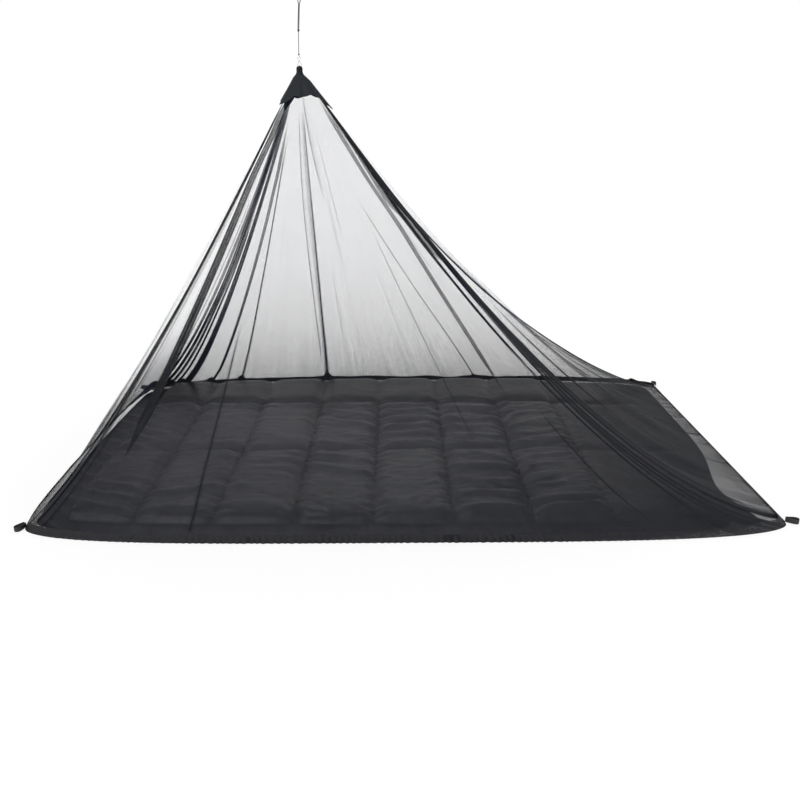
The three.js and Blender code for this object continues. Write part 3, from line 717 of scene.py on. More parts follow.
def surface(name, place, share):
    """Points of the smooth panel, for arrays of places and shares of the same shape."""
    panel = PANELS[name]
    out = hem_points(panel, place) - PEAK[:2]
    reach = np.hypot(out[..., 0], out[..., 1])
    radius = np.hypot(share * reach, NECK_RADIUS * (1 - share))
    height = HEM_FOOT + (PEAK[2] - HEM_FOOT) * (1 - share) ** fall_power(panel, place, share)
    return np.concatenate([PEAK[:2] + out * (radius / reach)[..., None], height[..., None]], -1)


def unit(vectors):
    """The same directions, each one metre long."""
    return vectors / np.maximum(np.linalg.norm(vectors, axis=-1, keepdims=True), 1e-9)


def directions(name, place, share):
    """The direction along the hem and the outward normal at each point."""
    step = 0.004
    before, after = np.maximum(place - step, -1), np.minimum(place + step, 1)
    across = unit(surface(name, after, share) - surface(name, before, share))
    down = surface(name, place, np.minimum(share + step, 1)) - surface(name, place, share - step)
    return across, unit(np.cross(down, across))


print("peak to hem middle:", np.round(surface("net_front", np.array(0.0), np.array(1.0)), 3))

# %% Broad folds, as on the solids
FOLD_FADE = 0.14
FOLDS = {
    "net_front": [(-0.86, 0.07, 0.1, 0.98, 16), (-0.71, 0.06, 0.2, 0.95, -14), (-0.55, 0.07, 0.25, 0.97, 18),
                  (-0.2, 0.09, 0.45, 0.97, -12), (0.16, 0.08, 0.4, 0.97, 10), (0.52, 0.07, 0.2, 0.97, 20),
                  (0.68, 0.06, 0.15, 0.97, -18), (0.86, 0.07, 0.2, 0.97, 16)],
    "net_right": [(-0.68, 0.2, 0.12, 0.97, -18), (-0.05, 0.22, 0.3, 0.96, 16), (0.62, 0.2, 0.15, 0.97, -8)],
    "net_back": [(-0.84, 0.07, 0.35, 0.97, 14), (-0.62, 0.07, 0.12, 0.97, -16), (-0.34, 0.06, 0.12, 0.98, 20),
                 (0.02, 0.08, 0.15, 0.9, -10), (0.3, 0.06, 0.09, 0.98, 18), (0.47, 0.06, 0.1, 0.97, -14),
                 (0.63, 0.06, 0.09, 0.98, 18), (0.78, 0.06, 0.09, 0.97, -16)],
    "net_left": [(-0.6, 0.2, 0.5, 0.97, 18), (-0.1, 0.2, 0.2, 0.96, -16), (0.45, 0.2, 0.3, 0.97, 6)],
}
FOLD_COLUMNS = ("at", "spread", "start", "end", "rise_mm")


def fold_rise(name, place, share):
    """How far the broad folds stand off the smooth panel, in metres."""
    rise = np.zeros(np.broadcast(place, share).shape)
    for row in FOLDS[name]:
        fold = dict(zip(FOLD_COLUMNS, row))
        off = np.minimum(np.abs(place - fold["at"]) / fold["spread"], 1)
        begun = smooth_step(share, fold["start"], fold["start"] + FOLD_FADE)
        left = 1 - smooth_step(share, fold["end"] - FOLD_FADE, fold["end"])
        rise += fold["rise_mm"] / 1000 * begun * left * (0.5 + 0.5 * np.cos(math.pi * off))
    return rise


print("broad folds:", {name: len(rows) for name, rows in FOLDS.items()})

# %% Narrow pleats
# Each row says where a pleat lies near the peak and at the hem, how wide it is at both, over
# which shares of the fall it runs, and how much more light its gathered layers stop.
PLEAT_COLUMNS = ("top", "at", "wide_top_mm", "wide_mm", "start", "end", "fill")
PLEATS = {
    "net_front": [
        (-0.984, -0.988, 6, 8, 0.04, 1.0, 0.66), (-0.955, -0.962, 5, 7, 0.22, 1.0, 0.10),
        (-0.84, -0.845, 24, 44, 0.04, 0.82, 0.30), (-0.54, -0.56, 3, 5, 0.50, 1.0, 0.34),
        (-0.17, 0.07, 3, 4, 0.04, 0.32, 0.12), (0.26, 0.30, 3, 5, 0.30, 0.85, 0.06),
        (0.575, 0.515, 20, 13, 0.05, 0.70, 0.30), (0.62, 0.69, 3, 6, 0.62, 0.97, 0.22),
        (0.66, 0.86, 16, 9, 0.10, 1.0, 0.40), (0.76, 0.92, 18, 12, 0.04, 0.98, 0.45),
        (0.88, 0.955, 22, 12, 0.04, 1.0, 0.45), (0.965, 0.985, 22, 20, 0.03, 1.0, 0.62)],
    "net_right": [
        (-0.95, -0.975, 14, 26, 0.04, 1.0, 0.60), (-0.80, -0.90, 10, 22, 0.12, 0.97, 0.40),
        (-0.60, -0.72, 8, 22, 0.25, 0.80, 0.40), (-0.38, -0.50, 6, 22, 0.38, 0.76, 0.35),
        (0.05, 0.0, 3, 5, 0.40, 0.90, 0.10), (0.40, 0.42, 3, 5, 0.45, 0.90, 0.14),
        (0.72, 0.75, 3, 5, 0.40, 0.95, 0.14), (0.975, 0.985, 7, 7, 0.05, 1.0, 0.60)],
    "net_back": [
        (-0.98, -0.985, 8, 7, 0.05, 1.0, 0.66), (-0.86, -0.94, 4, 12, 0.62, 1.0, 0.45),
        (-0.565, -0.58, 42, 11, 0.20, 0.92, 0.40), (0.06, -0.30, 4, 8, 0.30, 1.0, 0.12),
        (0.10, 0.10, 2, 3, 0.10, 0.50, 0.08), (0.30, 0.302, 1, 9, 0.07, 1.0, 0.46),
        (0.46, 0.322, 3, 4, 0.07, 0.97, 0.16), (0.68, 0.655, 4, 7, 0.10, 1.0, 0.34),
        (0.75, 0.775, 12, 14, 0.08, 1.0, 0.34), (0.875, 0.885, 9, 38, 0.04, 1.0, 0.34),
        (0.925, 0.93, 4, 14, 0.25, 1.0, 0.46), (0.955, 0.957, 14, 14, 0.04, 1.0, 0.40),
        (0.985, 0.984, 16, 18, 0.04, 1.0, 0.50)],
    "net_left": [
        (-0.96, -0.97, 14, 20, 0.04, 1.0, 0.45), (-0.86, -0.88, 5, 8, 0.20, 1.0, 0.14),
        (-0.3, -0.32, 3, 5, 0.40, 0.90, 0.10), (0.30, 0.34, 3, 5, 0.45, 0.95, 0.12),
        (0.984, 0.986, 6, 8, 0.05, 1.0, 0.60)],
}

print("pleats placed by hand:", {name: len(rows) for name, rows in PLEATS.items()})

# %% Gathers
# Each gather is a band of many small folds pressed together. It holds how dense the band is and
# where its two edges lie at each share of the fall.
GATHERS = {
    "net_front": [
        (0.80, ((0.03, 0.66, 1.0), (0.20, 0.65, 1.0), (0.25, 0.69, 1.0), (0.30, 0.74, 1.0),
                (0.34, 0.80, 1.0), (0.37, 0.87, 1.0), (0.41, 0.94, 1.0), (0.47, 0.985, 1.0))),
        (0.22, ((0.04, -0.89, -0.79), (0.40, -0.872, -0.818), (0.66, -0.866, -0.824))),
        (0.22, ((0.10, -0.985, -0.962), (0.50, -0.985, -0.972), (1.0, -0.985, -0.974))),
        (0.60, ((0.04, -1.0, -0.975), (0.30, -1.0, -0.986), (1.0, -1.0, -0.992))),
        (0.45, ((0.88, 0.90, 1.0), (0.94, 0.86, 1.0), (1.0, 0.84, 1.0)))],
    "net_right": [
        (0.74, ((0.06, -1.0, -0.96), (0.20, -1.0, -0.90), (0.30, -1.0, -0.78), (0.40, -1.0, -0.62),
                (0.50, -1.0, -0.60), (0.60, -1.0, -0.68), (0.72, -1.0, -0.86), (1.0, -1.0, -0.93))),
        (0.75, ((0.28, 0.96, 1.0), (0.50, 0.976, 1.0), (1.0, 0.986, 1.0)))],
    "net_back": [
        (0.75, ((0.28, -1.0, -0.97), (0.50, -1.0, -0.984), (1.0, -1.0, -0.990))),
        (0.30, ((0.04, 0.865, 0.895), (0.50, 0.872, 0.898), (0.80, 0.865, 0.905), (1.0, 0.86, 0.91))),
        (0.40, ((0.92, 0.92, 1.0), (0.96, 0.90, 1.0), (1.0, 0.88, 1.0)))],
    "net_left": [(0.60, ((0.04, 0.97, 1.0), (0.30, 0.984, 1.0), (1.0, 0.99, 1.0))),
                 (0.55, ((0.93, -1.0, -0.93), (0.97, -1.0, -0.86), (1.0, -1.0, -0.82)))],
}
GATHER_EDGE, RIDGE_SIDE = 0.006, 0.97
print("gathers:", {name: len(rows) for name, rows in GATHERS.items()})

# %% Every pleat of a panel
SOFT_PLEATS = 9
PLEAT_STEPS, SOFT_STEPS = 9, 7


def all_pleats(name, seed):
    """The listed pleats, then faint ones at seeded places between them."""
    chosen = [dict(zip(PLEAT_COLUMNS, row), steps=PLEAT_STEPS) for row in PLEATS[name]]
    chance = np.random.default_rng(seed)
    for at in chance.uniform(-0.94, 0.94, SOFT_PLEATS):
        if min(min(abs(at - pleat["at"]), abs(at - pleat["top"])) for pleat in chosen) < 0.04:
            continue
        start = chance.uniform(0.1, 0.6)
        wide = chance.uniform(1.2, 2.4)
        chosen.append(dict(top=at, at=at, wide_top_mm=wide, wide_mm=wide, start=start,
                           end=min(start + chance.uniform(0.25, 0.5), 0.97),
                           fill=chance.uniform(0.0, 0.04), steps=SOFT_STEPS))
    return sorted(chosen, key=lambda pleat: pleat["at"])


def pleat_place(pleat, share):
    """Where the pleat lies at a share: it drifts from its top place, and wanders a little."""
    wander = 0.004 * value_noise(share * 7 + 20, share * 0 + abs(pleat["at"]) * 50 + 3.5, 29)
    return pleat["at"] + (pleat["top"] - pleat["at"]) * (1 - share) ** 2 + wander * share * (1 - share)


def pleat_size(pleat, share):
    """How far the pleat is folded, from 0 to 1, and how wide it is in metres."""
    begun = smooth_step(share, pleat["start"], pleat["start"] + min(0.02 + pleat["start"], 0.12))
    left = 1 - smooth_step(share, pleat["end"] - 0.12, pleat["end"]) if pleat["end"] < 1 else 1.0
    return begun * left, blend(pleat["wide_top_mm"], pleat["wide_mm"], share) / 1000


print("pleats in all:", {name: len(all_pleats(name, 11 + i)) for i, name in enumerate(PANELS)})

# %% How much light the net stops
THINNEST, GATHERED, GATHER_HEIGHT = 0.105, 0.85, 0.24
SHEER_AT, SHEER_WIDTH = -0.915, 0.035  # a sheer strip beside the front left ridge
DENSEST = 0.93


def cover_at(name, place, share, height):
    """How much light one layer stops: little where it is stretched, more as it gathers below."""
    depth = THINNEST + GATHERED * np.exp(-height / GATHER_HEIGHT)
    if name == "net_front":
        sheer = np.exp(-((place - SHEER_AT) / SHEER_WIDTH) ** 2) * (1 - smooth_step(share, 0.6, 0.8))
        depth = depth * (1 - 0.5 * sheer)
    if name == "net_left":
        depth = depth * blend(1.7, 0.35, smooth_step(height, 0.10, 0.42))
    if name == "net_right":
        depth = depth * (1 - 0.45 * smooth_step(height, 0.30, 0.60)) + 0.95 * np.exp(-height / 0.10)
    return 1 - np.exp(-depth)


def band_share(place, share, rows):
    """How far a point lies inside one gathered band, from 0 to 1. Bands run on round a ridge."""
    shares, low, high = np.array(rows).T
    left_edge, right_edge = np.interp(share, shares, low), np.interp(share, shares, high)
    inside = smooth_step(place, left_edge - GATHER_EDGE, left_edge + GATHER_EDGE)
    inside = inside * (1 - smooth_step(place, right_edge - GATHER_EDGE, right_edge + GATHER_EDGE))
    at_end = np.where(right_edge >= 1, 1 - inside, 0) * (place > RIDGE_SIDE)
    at_start = np.where(left_edge <= -1, 1 - inside, 0) * (place < -RIDGE_SIDE)
    inside = np.clip(inside + at_end + at_start, 0, 1)
    begun = smooth_step(share, shares[0] - 0.02, shares[0])
    return inside * (begun * (1 - smooth_step(share, shares[-1], shares[-1] + 0.03)))


def past_gathers(name, place, share, seed):
    """How much light the gathered bands let past, streaked down the fall."""
    left = np.ones_like(place)
    streak = 0.86 + 0.20 * value_noise(place * 150 + 200, share * 4 + 20, seed + 7)
    for density, rows in GATHERS[name]:
        left = left * (1 - np.clip(density * band_share(place, share, rows) * streak, 0, 1))
    return left


top_and_foot = np.array([1.2, 0.0])
print("cover at the top and the foot:", cover_at("net_back", 0.0, 0.0, top_and_foot).round(2).tolist())

# %% Columns, pleats and ripples
COLUMN_STEP = 0.0085
PLEAT_SPACING, PLEAT_LIFT, PLEAT_REACH, PLEAT_STEEPNESS = 0.0004, 0.0022, 0.012, 0.35
CREASE_COVER, FAINT_FILL = 0.42, 0.1
RIPPLE_HEIGHT = 0.0022


def panel_columns(pleats, half):
    """Columns of the sheet: evenly spaced ones, and a close group of them through each pleat."""
    even = np.linspace(-1, 1, max(int(2 * half / COLUMN_STEP), 2))
    columns = [(place, None, 0.0) for place in even
               if all(abs(place - p["at"]) > 0.7 * COLUMN_STEP / half for p in pleats)]
    for pleat in pleats:
        for q in np.linspace(0, 1, pleat["steps"]):
            columns.append((pleat["at"] + (q - 0.5) * pleat["steps"] * PLEAT_SPACING / half, pleat, q))
    columns = [(min(max(place, -1), 1), pleat, q) for place, pleat, q in columns]
    return sorted(columns, key=lambda column: column[0])


def drifted_places(columns, pleats, shares):
    """Every column's place in every row, so that it keeps its order between drifting pleats."""
    own = np.array([c[0] for c in columns])
    knots = [-1.0, *(pleat["at"] for pleat in pleats), 1.0]
    return np.array([np.interp(own, knots, [-1.0, *(pleat_place(p, share) for p in pleats), 1.0])
                     for share in shares])


def pleat_effects(columns, pleats, shares, half):
    """What the pleats do to each point: a shift along the hem, a rise, and more cover."""
    own, through = np.array([c[0] for c in columns]), np.array([c[2] for c in columns])
    turned = np.sin(2 * math.pi * through)
    shift, rise, cover = np.zeros((3, len(shares), len(columns)))
    for pleat in pleats:
        size, width = (value[:, None] for value in pleat_size(pleat, shares))
        inside = np.array([c[1] is pleat for c in columns])
        beside = own - pleat["at"]
        shift += size * width * np.where(inside, turned / 2, 0.0)
        level = np.where(inside, np.cos(math.pi * through),
                         -np.sign(beside) * np.exp(-np.abs(beside) * half / PLEAT_REACH))
        rise += size * np.minimum(PLEAT_STEEPNESS * width, PLEAT_LIFT) * level
        creased = CREASE_COVER * (pleat["fill"] > FAINT_FILL) * turned ** 6
        cover += size * np.where(inside, pleat["fill"] + creased, 0.0)
    return shift, rise, cover


def small_ripple(across, share, seed):
    """Slack in the cloth: soft hills, long down the fall, about 3 mm high at most."""
    fade = smooth_step(share, 0.05, 0.4)
    hills = (value_noise(across * 14 + 30, share * 5 + 30, seed)
             + 0.5 * value_noise(across * 33 + 30, share * 9 + 30, seed + 1))
    return RIPPLE_HEIGHT * fade * hills


front_columns = panel_columns(all_pleats("net_front", 11), HEM_LENGTH / 2)
print("columns in the front panel:", len(front_columns))

# %% Panels as pleated sheets
NET_START, NET_ROWS = 0.03, 130


def make_panel(name, seed):
    panel = PANELS[name]
    half = np.linalg.norm(corner_of(panel["end"]) - corner_of(panel["start"])) / 2
    pleats = all_pleats(name, seed)
    columns = panel_columns(pleats, half)
    shares = blend(NET_START, 1.0, np.linspace(0, 1, NET_ROWS) ** 0.9)
    place = drifted_places(columns, pleats, shares)
    share = np.broadcast_to(shares[:, None], place.shape)
    points = surface(name, place, share)
    across, normal = directions(name, place, share)
    shift, rise, more_cover = pleat_effects(columns, pleats, shares, half)
    rise += fold_rise(name, place, share) + small_ripple(place * half, share, seed)
    left = (1 - cover_at(name, place, share, points[..., 2])) * past_gathers(name, place, share, seed)
    cover = 1 - left + more_cover
    foot = smooth_step(share, 0.99, 1.0)
    points = points + across * shift[..., None] + normal * (rise * (1 - foot))[..., None]
    points[..., 2] = np.maximum(points[..., 2], HEM_FOOT)
    piece = link_mesh(name + "_sheet", points, grid_faces(*place.shape), NET)
    set_map(piece, np.stack([place * share * half + shift, share * PANEL_FALL], -1))
    set_number(piece, "cover", np.clip(cover, 0, DENSEST))
    set_number(piece, "fall_place", place * half)
    set_number(piece, "fall_share", share)
    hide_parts(name)
    print(name, "columns", len(columns), "triangles", 2 * (len(columns) - 1) * (NET_ROWS - 1))
    return piece


sheets = {name: make_panel(name, 11 + i) for i, name in enumerate(PANELS)}

# %% [markdown]
# ## The hem
#
# The edge of the net is turned up and sewn double over a drawn tape. It is dense, dark and
# gathered, so it ripples and bunches where a pleat comes down to it. At the back and the right
# its lower edge also lies inward on the ground. The panels' own lowest rows could be thickened,
# but the pleats crowd their columns, so the hem is a strip of its own with even columns.

# %% Gathers along the hem
HEM_BAND = 0.022
GATHER_PITCH, BUNCH_WIDTH, BUNCH_HEIGHT, BACK_WAVE = 0.019, 0.014, 0.03, 0.008
CORNER_PUFF, CORNER_REACH = 0.020, 0.055  # the net bunches up at the back left corner


def hem_noise(along, per_metre, line, seed):
    """Random hills along the hem: each line of the noise gives another row of hills."""
    return value_noise(along * per_metre + 40, along * 0 + line, seed)


def gather_wave(along, seed):
    """Uneven gathers, about 2 cm apart."""
    warped = along + 0.006 * hem_noise(along, 30, 3.5, seed)
    return (np.sin(warped * 2 * math.pi / GATHER_PITCH) * (0.6 + 0.4 * hem_noise(along, 18, 7.5, seed))
            + 0.5 * hem_noise(along, 120, 9.5, seed))


def hem_bunches(name, along, half):
    """How much the hem bunches up where a pleat reaches it."""
    pleats = (dict(zip(PLEAT_COLUMNS, row)) for row in PLEATS[name])
    bunch = sum(np.exp(-((along - p["at"] * half) / BUNCH_WIDTH) ** 2) * p["fill"]
                for p in pleats if p["end"] >= 1)
    return np.clip(bunch, 0, 0.5) * (1 - smooth_step(np.abs(along), half - 0.12, half - 0.02))


def hem_height(name, along, half, bunch, seed):
    """How high the band stands: uneven, and higher at bunches, at the back and at one corner."""
    height = HEM_BAND * (1 + 0.14 * hem_noise(along, 25, 1.5, seed)) + BUNCH_HEIGHT * bunch
    if name == "net_back":
        uneven = BACK_WAVE * (0.4 + hem_noise(along, 9, 2.5, seed))
        height = height + uneven * smooth_step(along, -half, -half + 0.12) + BUNCH_HEIGHT * bunch
    panel = PANELS[name]
    if "back_left" in (panel["start"], panel["end"]):
        corner_at = -half if panel["start"] == "back_left" else half
        height = height + CORNER_PUFF * np.exp(-((along - corner_at) / CORNER_REACH) ** 2)
    return height


front_hem = np.linspace(-1, 1, 9) * HEM_LENGTH / 2
print("front hem bunches:", hem_bunches("net_front", front_hem, HEM_LENGTH / 2).round(2).tolist())

# %% Hem strips
HEM_STEP, HEM_SKIN, HEM_FLARE = 0.0035, 0.0011, 0.0025
HEM_ROWS, HEM_LOWEST, TRAIL_HEIGHT = 8, 0.0004, 0.0025
TRAIL = {"net_back": 0.046, "net_right": 0.012}  # how far the hem lies inward on the ground


def make_hem(name, seed):
    """Rows of points down the outside of the folded band and up its inside again."""
    panel = PANELS[name]
    half = np.linalg.norm(corner_of(panel["end"]) - corner_of(panel["start"])) / 2
    places = np.linspace(-1, 1, int(2 * half / HEM_STEP))
    along = places * half
    bunch = hem_bunches(name, along, half)
    height = hem_height(name, along, half, bunch, seed)
    wave = gather_wave(along, seed) * (1 - 0.5 * smooth_step(np.abs(along), half - 0.06, half))
    levels = np.linspace(1, 0, HEM_ROWS)
    rows = [(level, 1) for level in levels] + [(level, -1) for level in levels[::-1]]
    if name in TRAIL:
        rows.insert(HEM_ROWS, (0.0, 0))
    points, maps, covers = [], [], []
    for level, side in rows:
        top = height * level
        share = 1 - top / PANEL_FALL
        normal = directions(name, places, share)[1]
        flare = HEM_FLARE * (0.35 + 0.65 * (1 - level)) * wave
        skin = side * HEM_SKIN * (0.35 + 0.65 * np.sin(math.pi * level))
        base = surface(name, places, share) + normal * (flare + skin)[:, None]
        base[:, 2] = np.maximum(top * 0.96, HEM_LOWEST)
        if side == 0:
            uneven = np.clip(0.7 + 0.5 * hem_noise(along, 14, 5.5, seed) + 0.10 * wave, 0.7, 1.3)
            base = base - unit(normal * [1, 1, 0]) * (TRAIL[name] * uneven)[:, None]
            base[:, 2] = TRAIL_HEIGHT
        points.append(base)
        down = np.full_like(along, PANEL_FALL + side * level * HEM_BAND)
        maps.append(np.stack([along + 0.3 * wave * 0.004, down], -1))
        covers.append(np.clip(0.88 + 0.2 * bunch + 0.10 * wave * level, 0.7, 0.98))
    piece = link_mesh(name + "_hem", points, grid_faces(len(rows), len(places)), HEM)
    set_map(piece, np.array(maps))
    set_number(piece, "cover", np.array(covers))
    print(name, "hem", len(places), "columns")
    return piece


hems = {name: make_hem(name, 51 + i) for i, name in enumerate(PANELS)}

# %% [markdown]
# ## The cap
#
# Four wedges of closely woven cloth are sewn into a small pointed cap that hides the gathered
# top of the net. It hangs loose, so its lower edge waves, and its neck is drawn in by a tie. It
# could be sewn from four flat wedges by cloth simulation. It lies close on the net, though, so
# lines down the net's own surface, lifted a little, give its shape more surely.

# %% Edge of the cap
CAP_EDGE, CAP_PER_PANEL = 0.066, 48
CAP_LONGEST = 0.094  # the corners hang no lower than this share
CAP_LOBES, CAP_NOTCH = 11, 0.13  # the lower edge hangs in lobes between small notches


def cap_ring():
    """The ring of places under the cap, panel after panel, and the share its edge reaches."""
    names, places, edges = [], [], []
    for name, panel in PANELS.items():
        for place in np.linspace(-1, 1, CAP_PER_PANEL, endpoint=False):
            start, end = RIDGES[panel["start"]]["cap"], RIDGES[panel["end"]]["cap"]
            names.append(name)
            places.append(place)
            edges.append(blend(CAP_EDGE, blend(start, end, (place + 1) / 2), abs(place) ** 3))
    turn = 2 * math.pi * np.arange(len(edges)) / len(edges)
    lobes = np.abs(np.sin(CAP_LOBES / 2 * turn + 0.5 + 0.5 * np.sin(3 * turn))) ** 0.6
    edges = np.minimum(edges, CAP_LONGEST)
    return names, np.array(places), edges * (1 - CAP_NOTCH * (1 - lobes))


print("the cap's edge lies at shares", [round(float(f(cap_ring()[2])), 3) for f in (np.min, np.max)])

# %% The cap's cloth
CAP_THICKNESS, CAP_CLEARANCE, NET_THICKNESS = 0.0012, 0.0018, 0.0015
CAP_START, CAP_ROWS = 0.02, 34
CAP_NECK = ((0.0064, 1.255), (0.0082, 1.250), (0.0080, 1.240), (0.0105, 1.233))  # radius, height
NECK_DRAWN_IN = 0.96
FLUTE_RISE, FLUTE_DEPTH = 0.0011, 2.1  # the waves of the flutes add up to FLUTE_DEPTH at most


def cap_neck(turn, out):
    """Rings of the cap's gathered neck, from its top down to where the cloth spreads."""
    pinch = 1 + 0.10 * np.sin(16 * turn) + 0.05 * np.sin(9 * turn + 1)
    rings = [np.concatenate([PEAK[:2] + out * (radius * NECK_DRAWN_IN * pinch)[:, None],
                             np.full((len(turn), 1), height)], -1) for radius, height in CAP_NECK]
    return [blend(a, b, t) for a, b in zip(rings, rings[1:]) for t in (0.0, 0.33, 0.66)] + [rings[-1]]


def make_cap():
    names, places, edges = cap_ring()
    count = len(places)
    turn = 2 * math.pi * np.arange(count) / count
    rows = []
    for amount in np.linspace(0, 1, CAP_ROWS):
        share = blend(CAP_START, edges, amount)
        rows.append(np.array([surface(name, np.array(place), np.array(part))
                              for name, place, part in zip(names, places, share)]))
    grid = np.array(rows)
    across = np.roll(grid, -1, 1) - np.roll(grid, 1, 1)
    down = np.gradient(grid, axis=0)
    normal = unit(np.cross(down, across))
    amount = np.linspace(0, 1, CAP_ROWS)[:, None]
    flutes = (np.sin(13 * turn + 0.8) + 0.6 * np.sin(21 * turn + 2.1) + 0.5 * np.sin(7 * turn))[None]
    standing = (flutes + FLUTE_DEPTH) * amount ** 0.7 * (0.4 + 0.6 * amount)
    lift = NET_THICKNESS / 2 + CAP_CLEARANCE + CAP_THICKNESS / 2 + FLUTE_RISE * standing
    grid = grid + normal * lift[..., None]
    grid = np.concatenate([cap_neck(turn, unit(grid[0, :, :2] - PEAK[:2])), grid])
    lid = len(grid) * count
    points = np.concatenate([grid.reshape(-1, 3), [[PEAK[0], PEAK[1], CAP_NECK[0][1]]]])
    faces = grid_faces(len(grid), count, ring=True) + [[lid, i, (i + 1) % count] for i in range(count)]
    piece = link_mesh("cap_cloth", points, faces, CAP)
    fall = np.cumsum(np.concatenate([[0], np.linalg.norm(np.diff(grid.mean(1), axis=0), axis=-1)]))
    flat = np.stack(np.broadcast_arrays(turn[None] * 0.05, fall[:, None]), -1).reshape(-1, 2)
    set_map(piece, np.concatenate([flat, [[0, 0]]]))
    thick = piece.modifiers.new("thickness", "SOLIDIFY")
    thick.thickness = CAP_THICKNESS
    thick.offset = 0
    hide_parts("cap")
    return piece, grid


cap_piece, cap_grid = make_cap()
print("cap points", cap_grid.shape)

# %% Neck tie and edge piping
NECK_TIE_ROW, PIPING_RADIUS = 5, 0.0008


def binding(name, points):
    """A closed roll of binding tape along a ring of points."""
    piece = wire(name, points, PIPING_RADIUS, closed=True, smooth=1)
    piece.data.bevel_resolution = 2
    piece.data.materials.append(BINDING)
    return piece


cap_edge = binding("cap_edge_roll", cap_grid[-1])
neck_ring = cap_grid[NECK_TIE_ROW]
neck_out = unit((neck_ring - [*PEAK[:2], 0]) * [1, 1, 0])
cap_neck_tie = binding("cap_neck_tie", neck_ring + CAP_THICKNESS / 2 * neck_out)
print("bindings:", cap_edge.name, "/", cap_neck_tie.name)

# %% [markdown]
# ## The quilted mat
#
# The mat is two layers of thin nylon with filling between them, sewn across into channels. The
# cloth is larger than the filled shape, so it puckers at every seam. Cloth simulation would pull
# such fine wrinkles flat at this size, so they are made in code: first the channels of the solid,
# then narrow grooves at the seams, and waves that run across each channel and branch at them.

# %% Sizes of the mat, as on the solid
MAT_EDGES = {"left": dict(at=-1.082, border=0.090, rounding=0.048),
             "right": dict(at=1.050, border=0.084, rounding=0.048),
             "front": dict(at=-0.682, border=0.066, rounding=0.048),
             "back": dict(at=0.584, border=0.024, rounding=0.048)}
MAT_CORNERS = dict(front_left=0.050, front_right=0.045, back_right=0.050, back_left=0.080)
FRONT_BOW, FRONT_BOW_END = 0.105, -0.260
BACK_BOW, BACK_BOW_START = 0.098, 0.370
LEFT_BOW = 0.020
HOLLOW_DEPTH, HOLLOW_AT, HOLLOW_WIDTH = 0.062, -0.410, 0.220
MAT_THICK, MAT_END_THICK = 0.046, 0.020
BORDER_EDGE, BORDER_INNER = 0.003, 0.009
FILL_FROM, FILL_TO = 0.560, 0.740
FIRST_SEAM, SEAM_PITCH, SEAM_COUNT = -0.795, 0.233, 7
LAST_SEAM = FIRST_SEAM + SEAM_PITCH * (SEAM_COUNT - 1)
SEAM_DEPTH, SEAM_WIDTH = 0.32, 0.026  # less deep than on the solid, as narrow grooves come on top
CROSS_SEAMS = ((-0.125, 0.25), (0.350, 0.40))
print("channel seams from", FIRST_SEAM, "to", round(LAST_SEAM, 3))

# %% Outline of the mat
def corner_inset(radius, from_end):
    """How far a rounded corner draws the side in, this far from the side's end."""
    into = np.clip(radius - from_end, 0, None)
    return radius - np.sqrt(radius ** 2 - into ** 2)


def mat_place(x, y):
    """Where a point of the straight-edged sheet lies, once its edges bow and its corners round."""
    left, right, front, back = (MAT_EDGES[k]["at"] for k in ("left", "right", "front", "back"))
    c = MAT_CORNERS
    left_inset = (np.maximum(corner_inset(c["front_left"], y - front), corner_inset(c["back_left"], back - y))
                  - LEFT_BOW * bow_share(PANELS["net_left"], 2 * y / HEM_DEPTH))
    right_inset = (np.maximum(corner_inset(c["front_right"], y - front),
                              corner_inset(c["back_right"], back - y))
                   + HOLLOW_DEPTH * np.exp(-((y - HOLLOW_AT) / HOLLOW_WIDTH) ** 2))
    front_in = FRONT_BOW * (1 - bow_share(PANELS["net_front"], 2 * x / HEM_LENGTH))
    back_out = BACK_BOW * bow_share(PANELS["net_back"], 2 * x / HEM_LENGTH)
    at_left, at_right = 1 - smooth_step(x, left, FIRST_SEAM), smooth_step(x, LAST_SEAM, right)
    at_front, at_back = 1 - smooth_step(y, front, FRONT_BOW_END), smooth_step(y, BACK_BOW_START, back)
    return x + at_left * left_inset - at_right * right_inset, y + front_in * at_front + back_out * at_back


print("the mat's middle moves to", [round(float(v), 3) for v in mat_place(np.array(0.0), np.array(0.0))])

# %% Filling
def filled(edge, distance):
    """The round shoulder of the filling beside one edge, from 0 at the border to 1 inside."""
    inward = np.clip((distance - edge["border"]) / edge["rounding"], 0, 1)
    return np.sqrt(1 - (1 - inward) ** 2)


def from_seam(x):
    """How far right of the nearest channel seam a point lies, in metres."""
    nearest = np.clip(np.round((x - FIRST_SEAM) / SEAM_PITCH), 0, SEAM_COUNT - 1)
    return x - FIRST_SEAM - nearest * SEAM_PITCH


def fullness(x, y):
    """How full the quilt is: 0 on its flat border and 1 well inside."""
    ends = np.minimum(filled(MAT_EDGES["left"], x - MAT_EDGES["left"]["at"]),
                      filled(MAT_EDGES["right"], MAT_EDGES["right"]["at"] - x))
    sides = np.minimum(filled(MAT_EDGES["front"], y - MAT_EDGES["front"]["at"]),
                       filled(MAT_EDGES["back"], MAT_EDGES["back"]["at"] - y))
    return np.minimum(ends, sides)


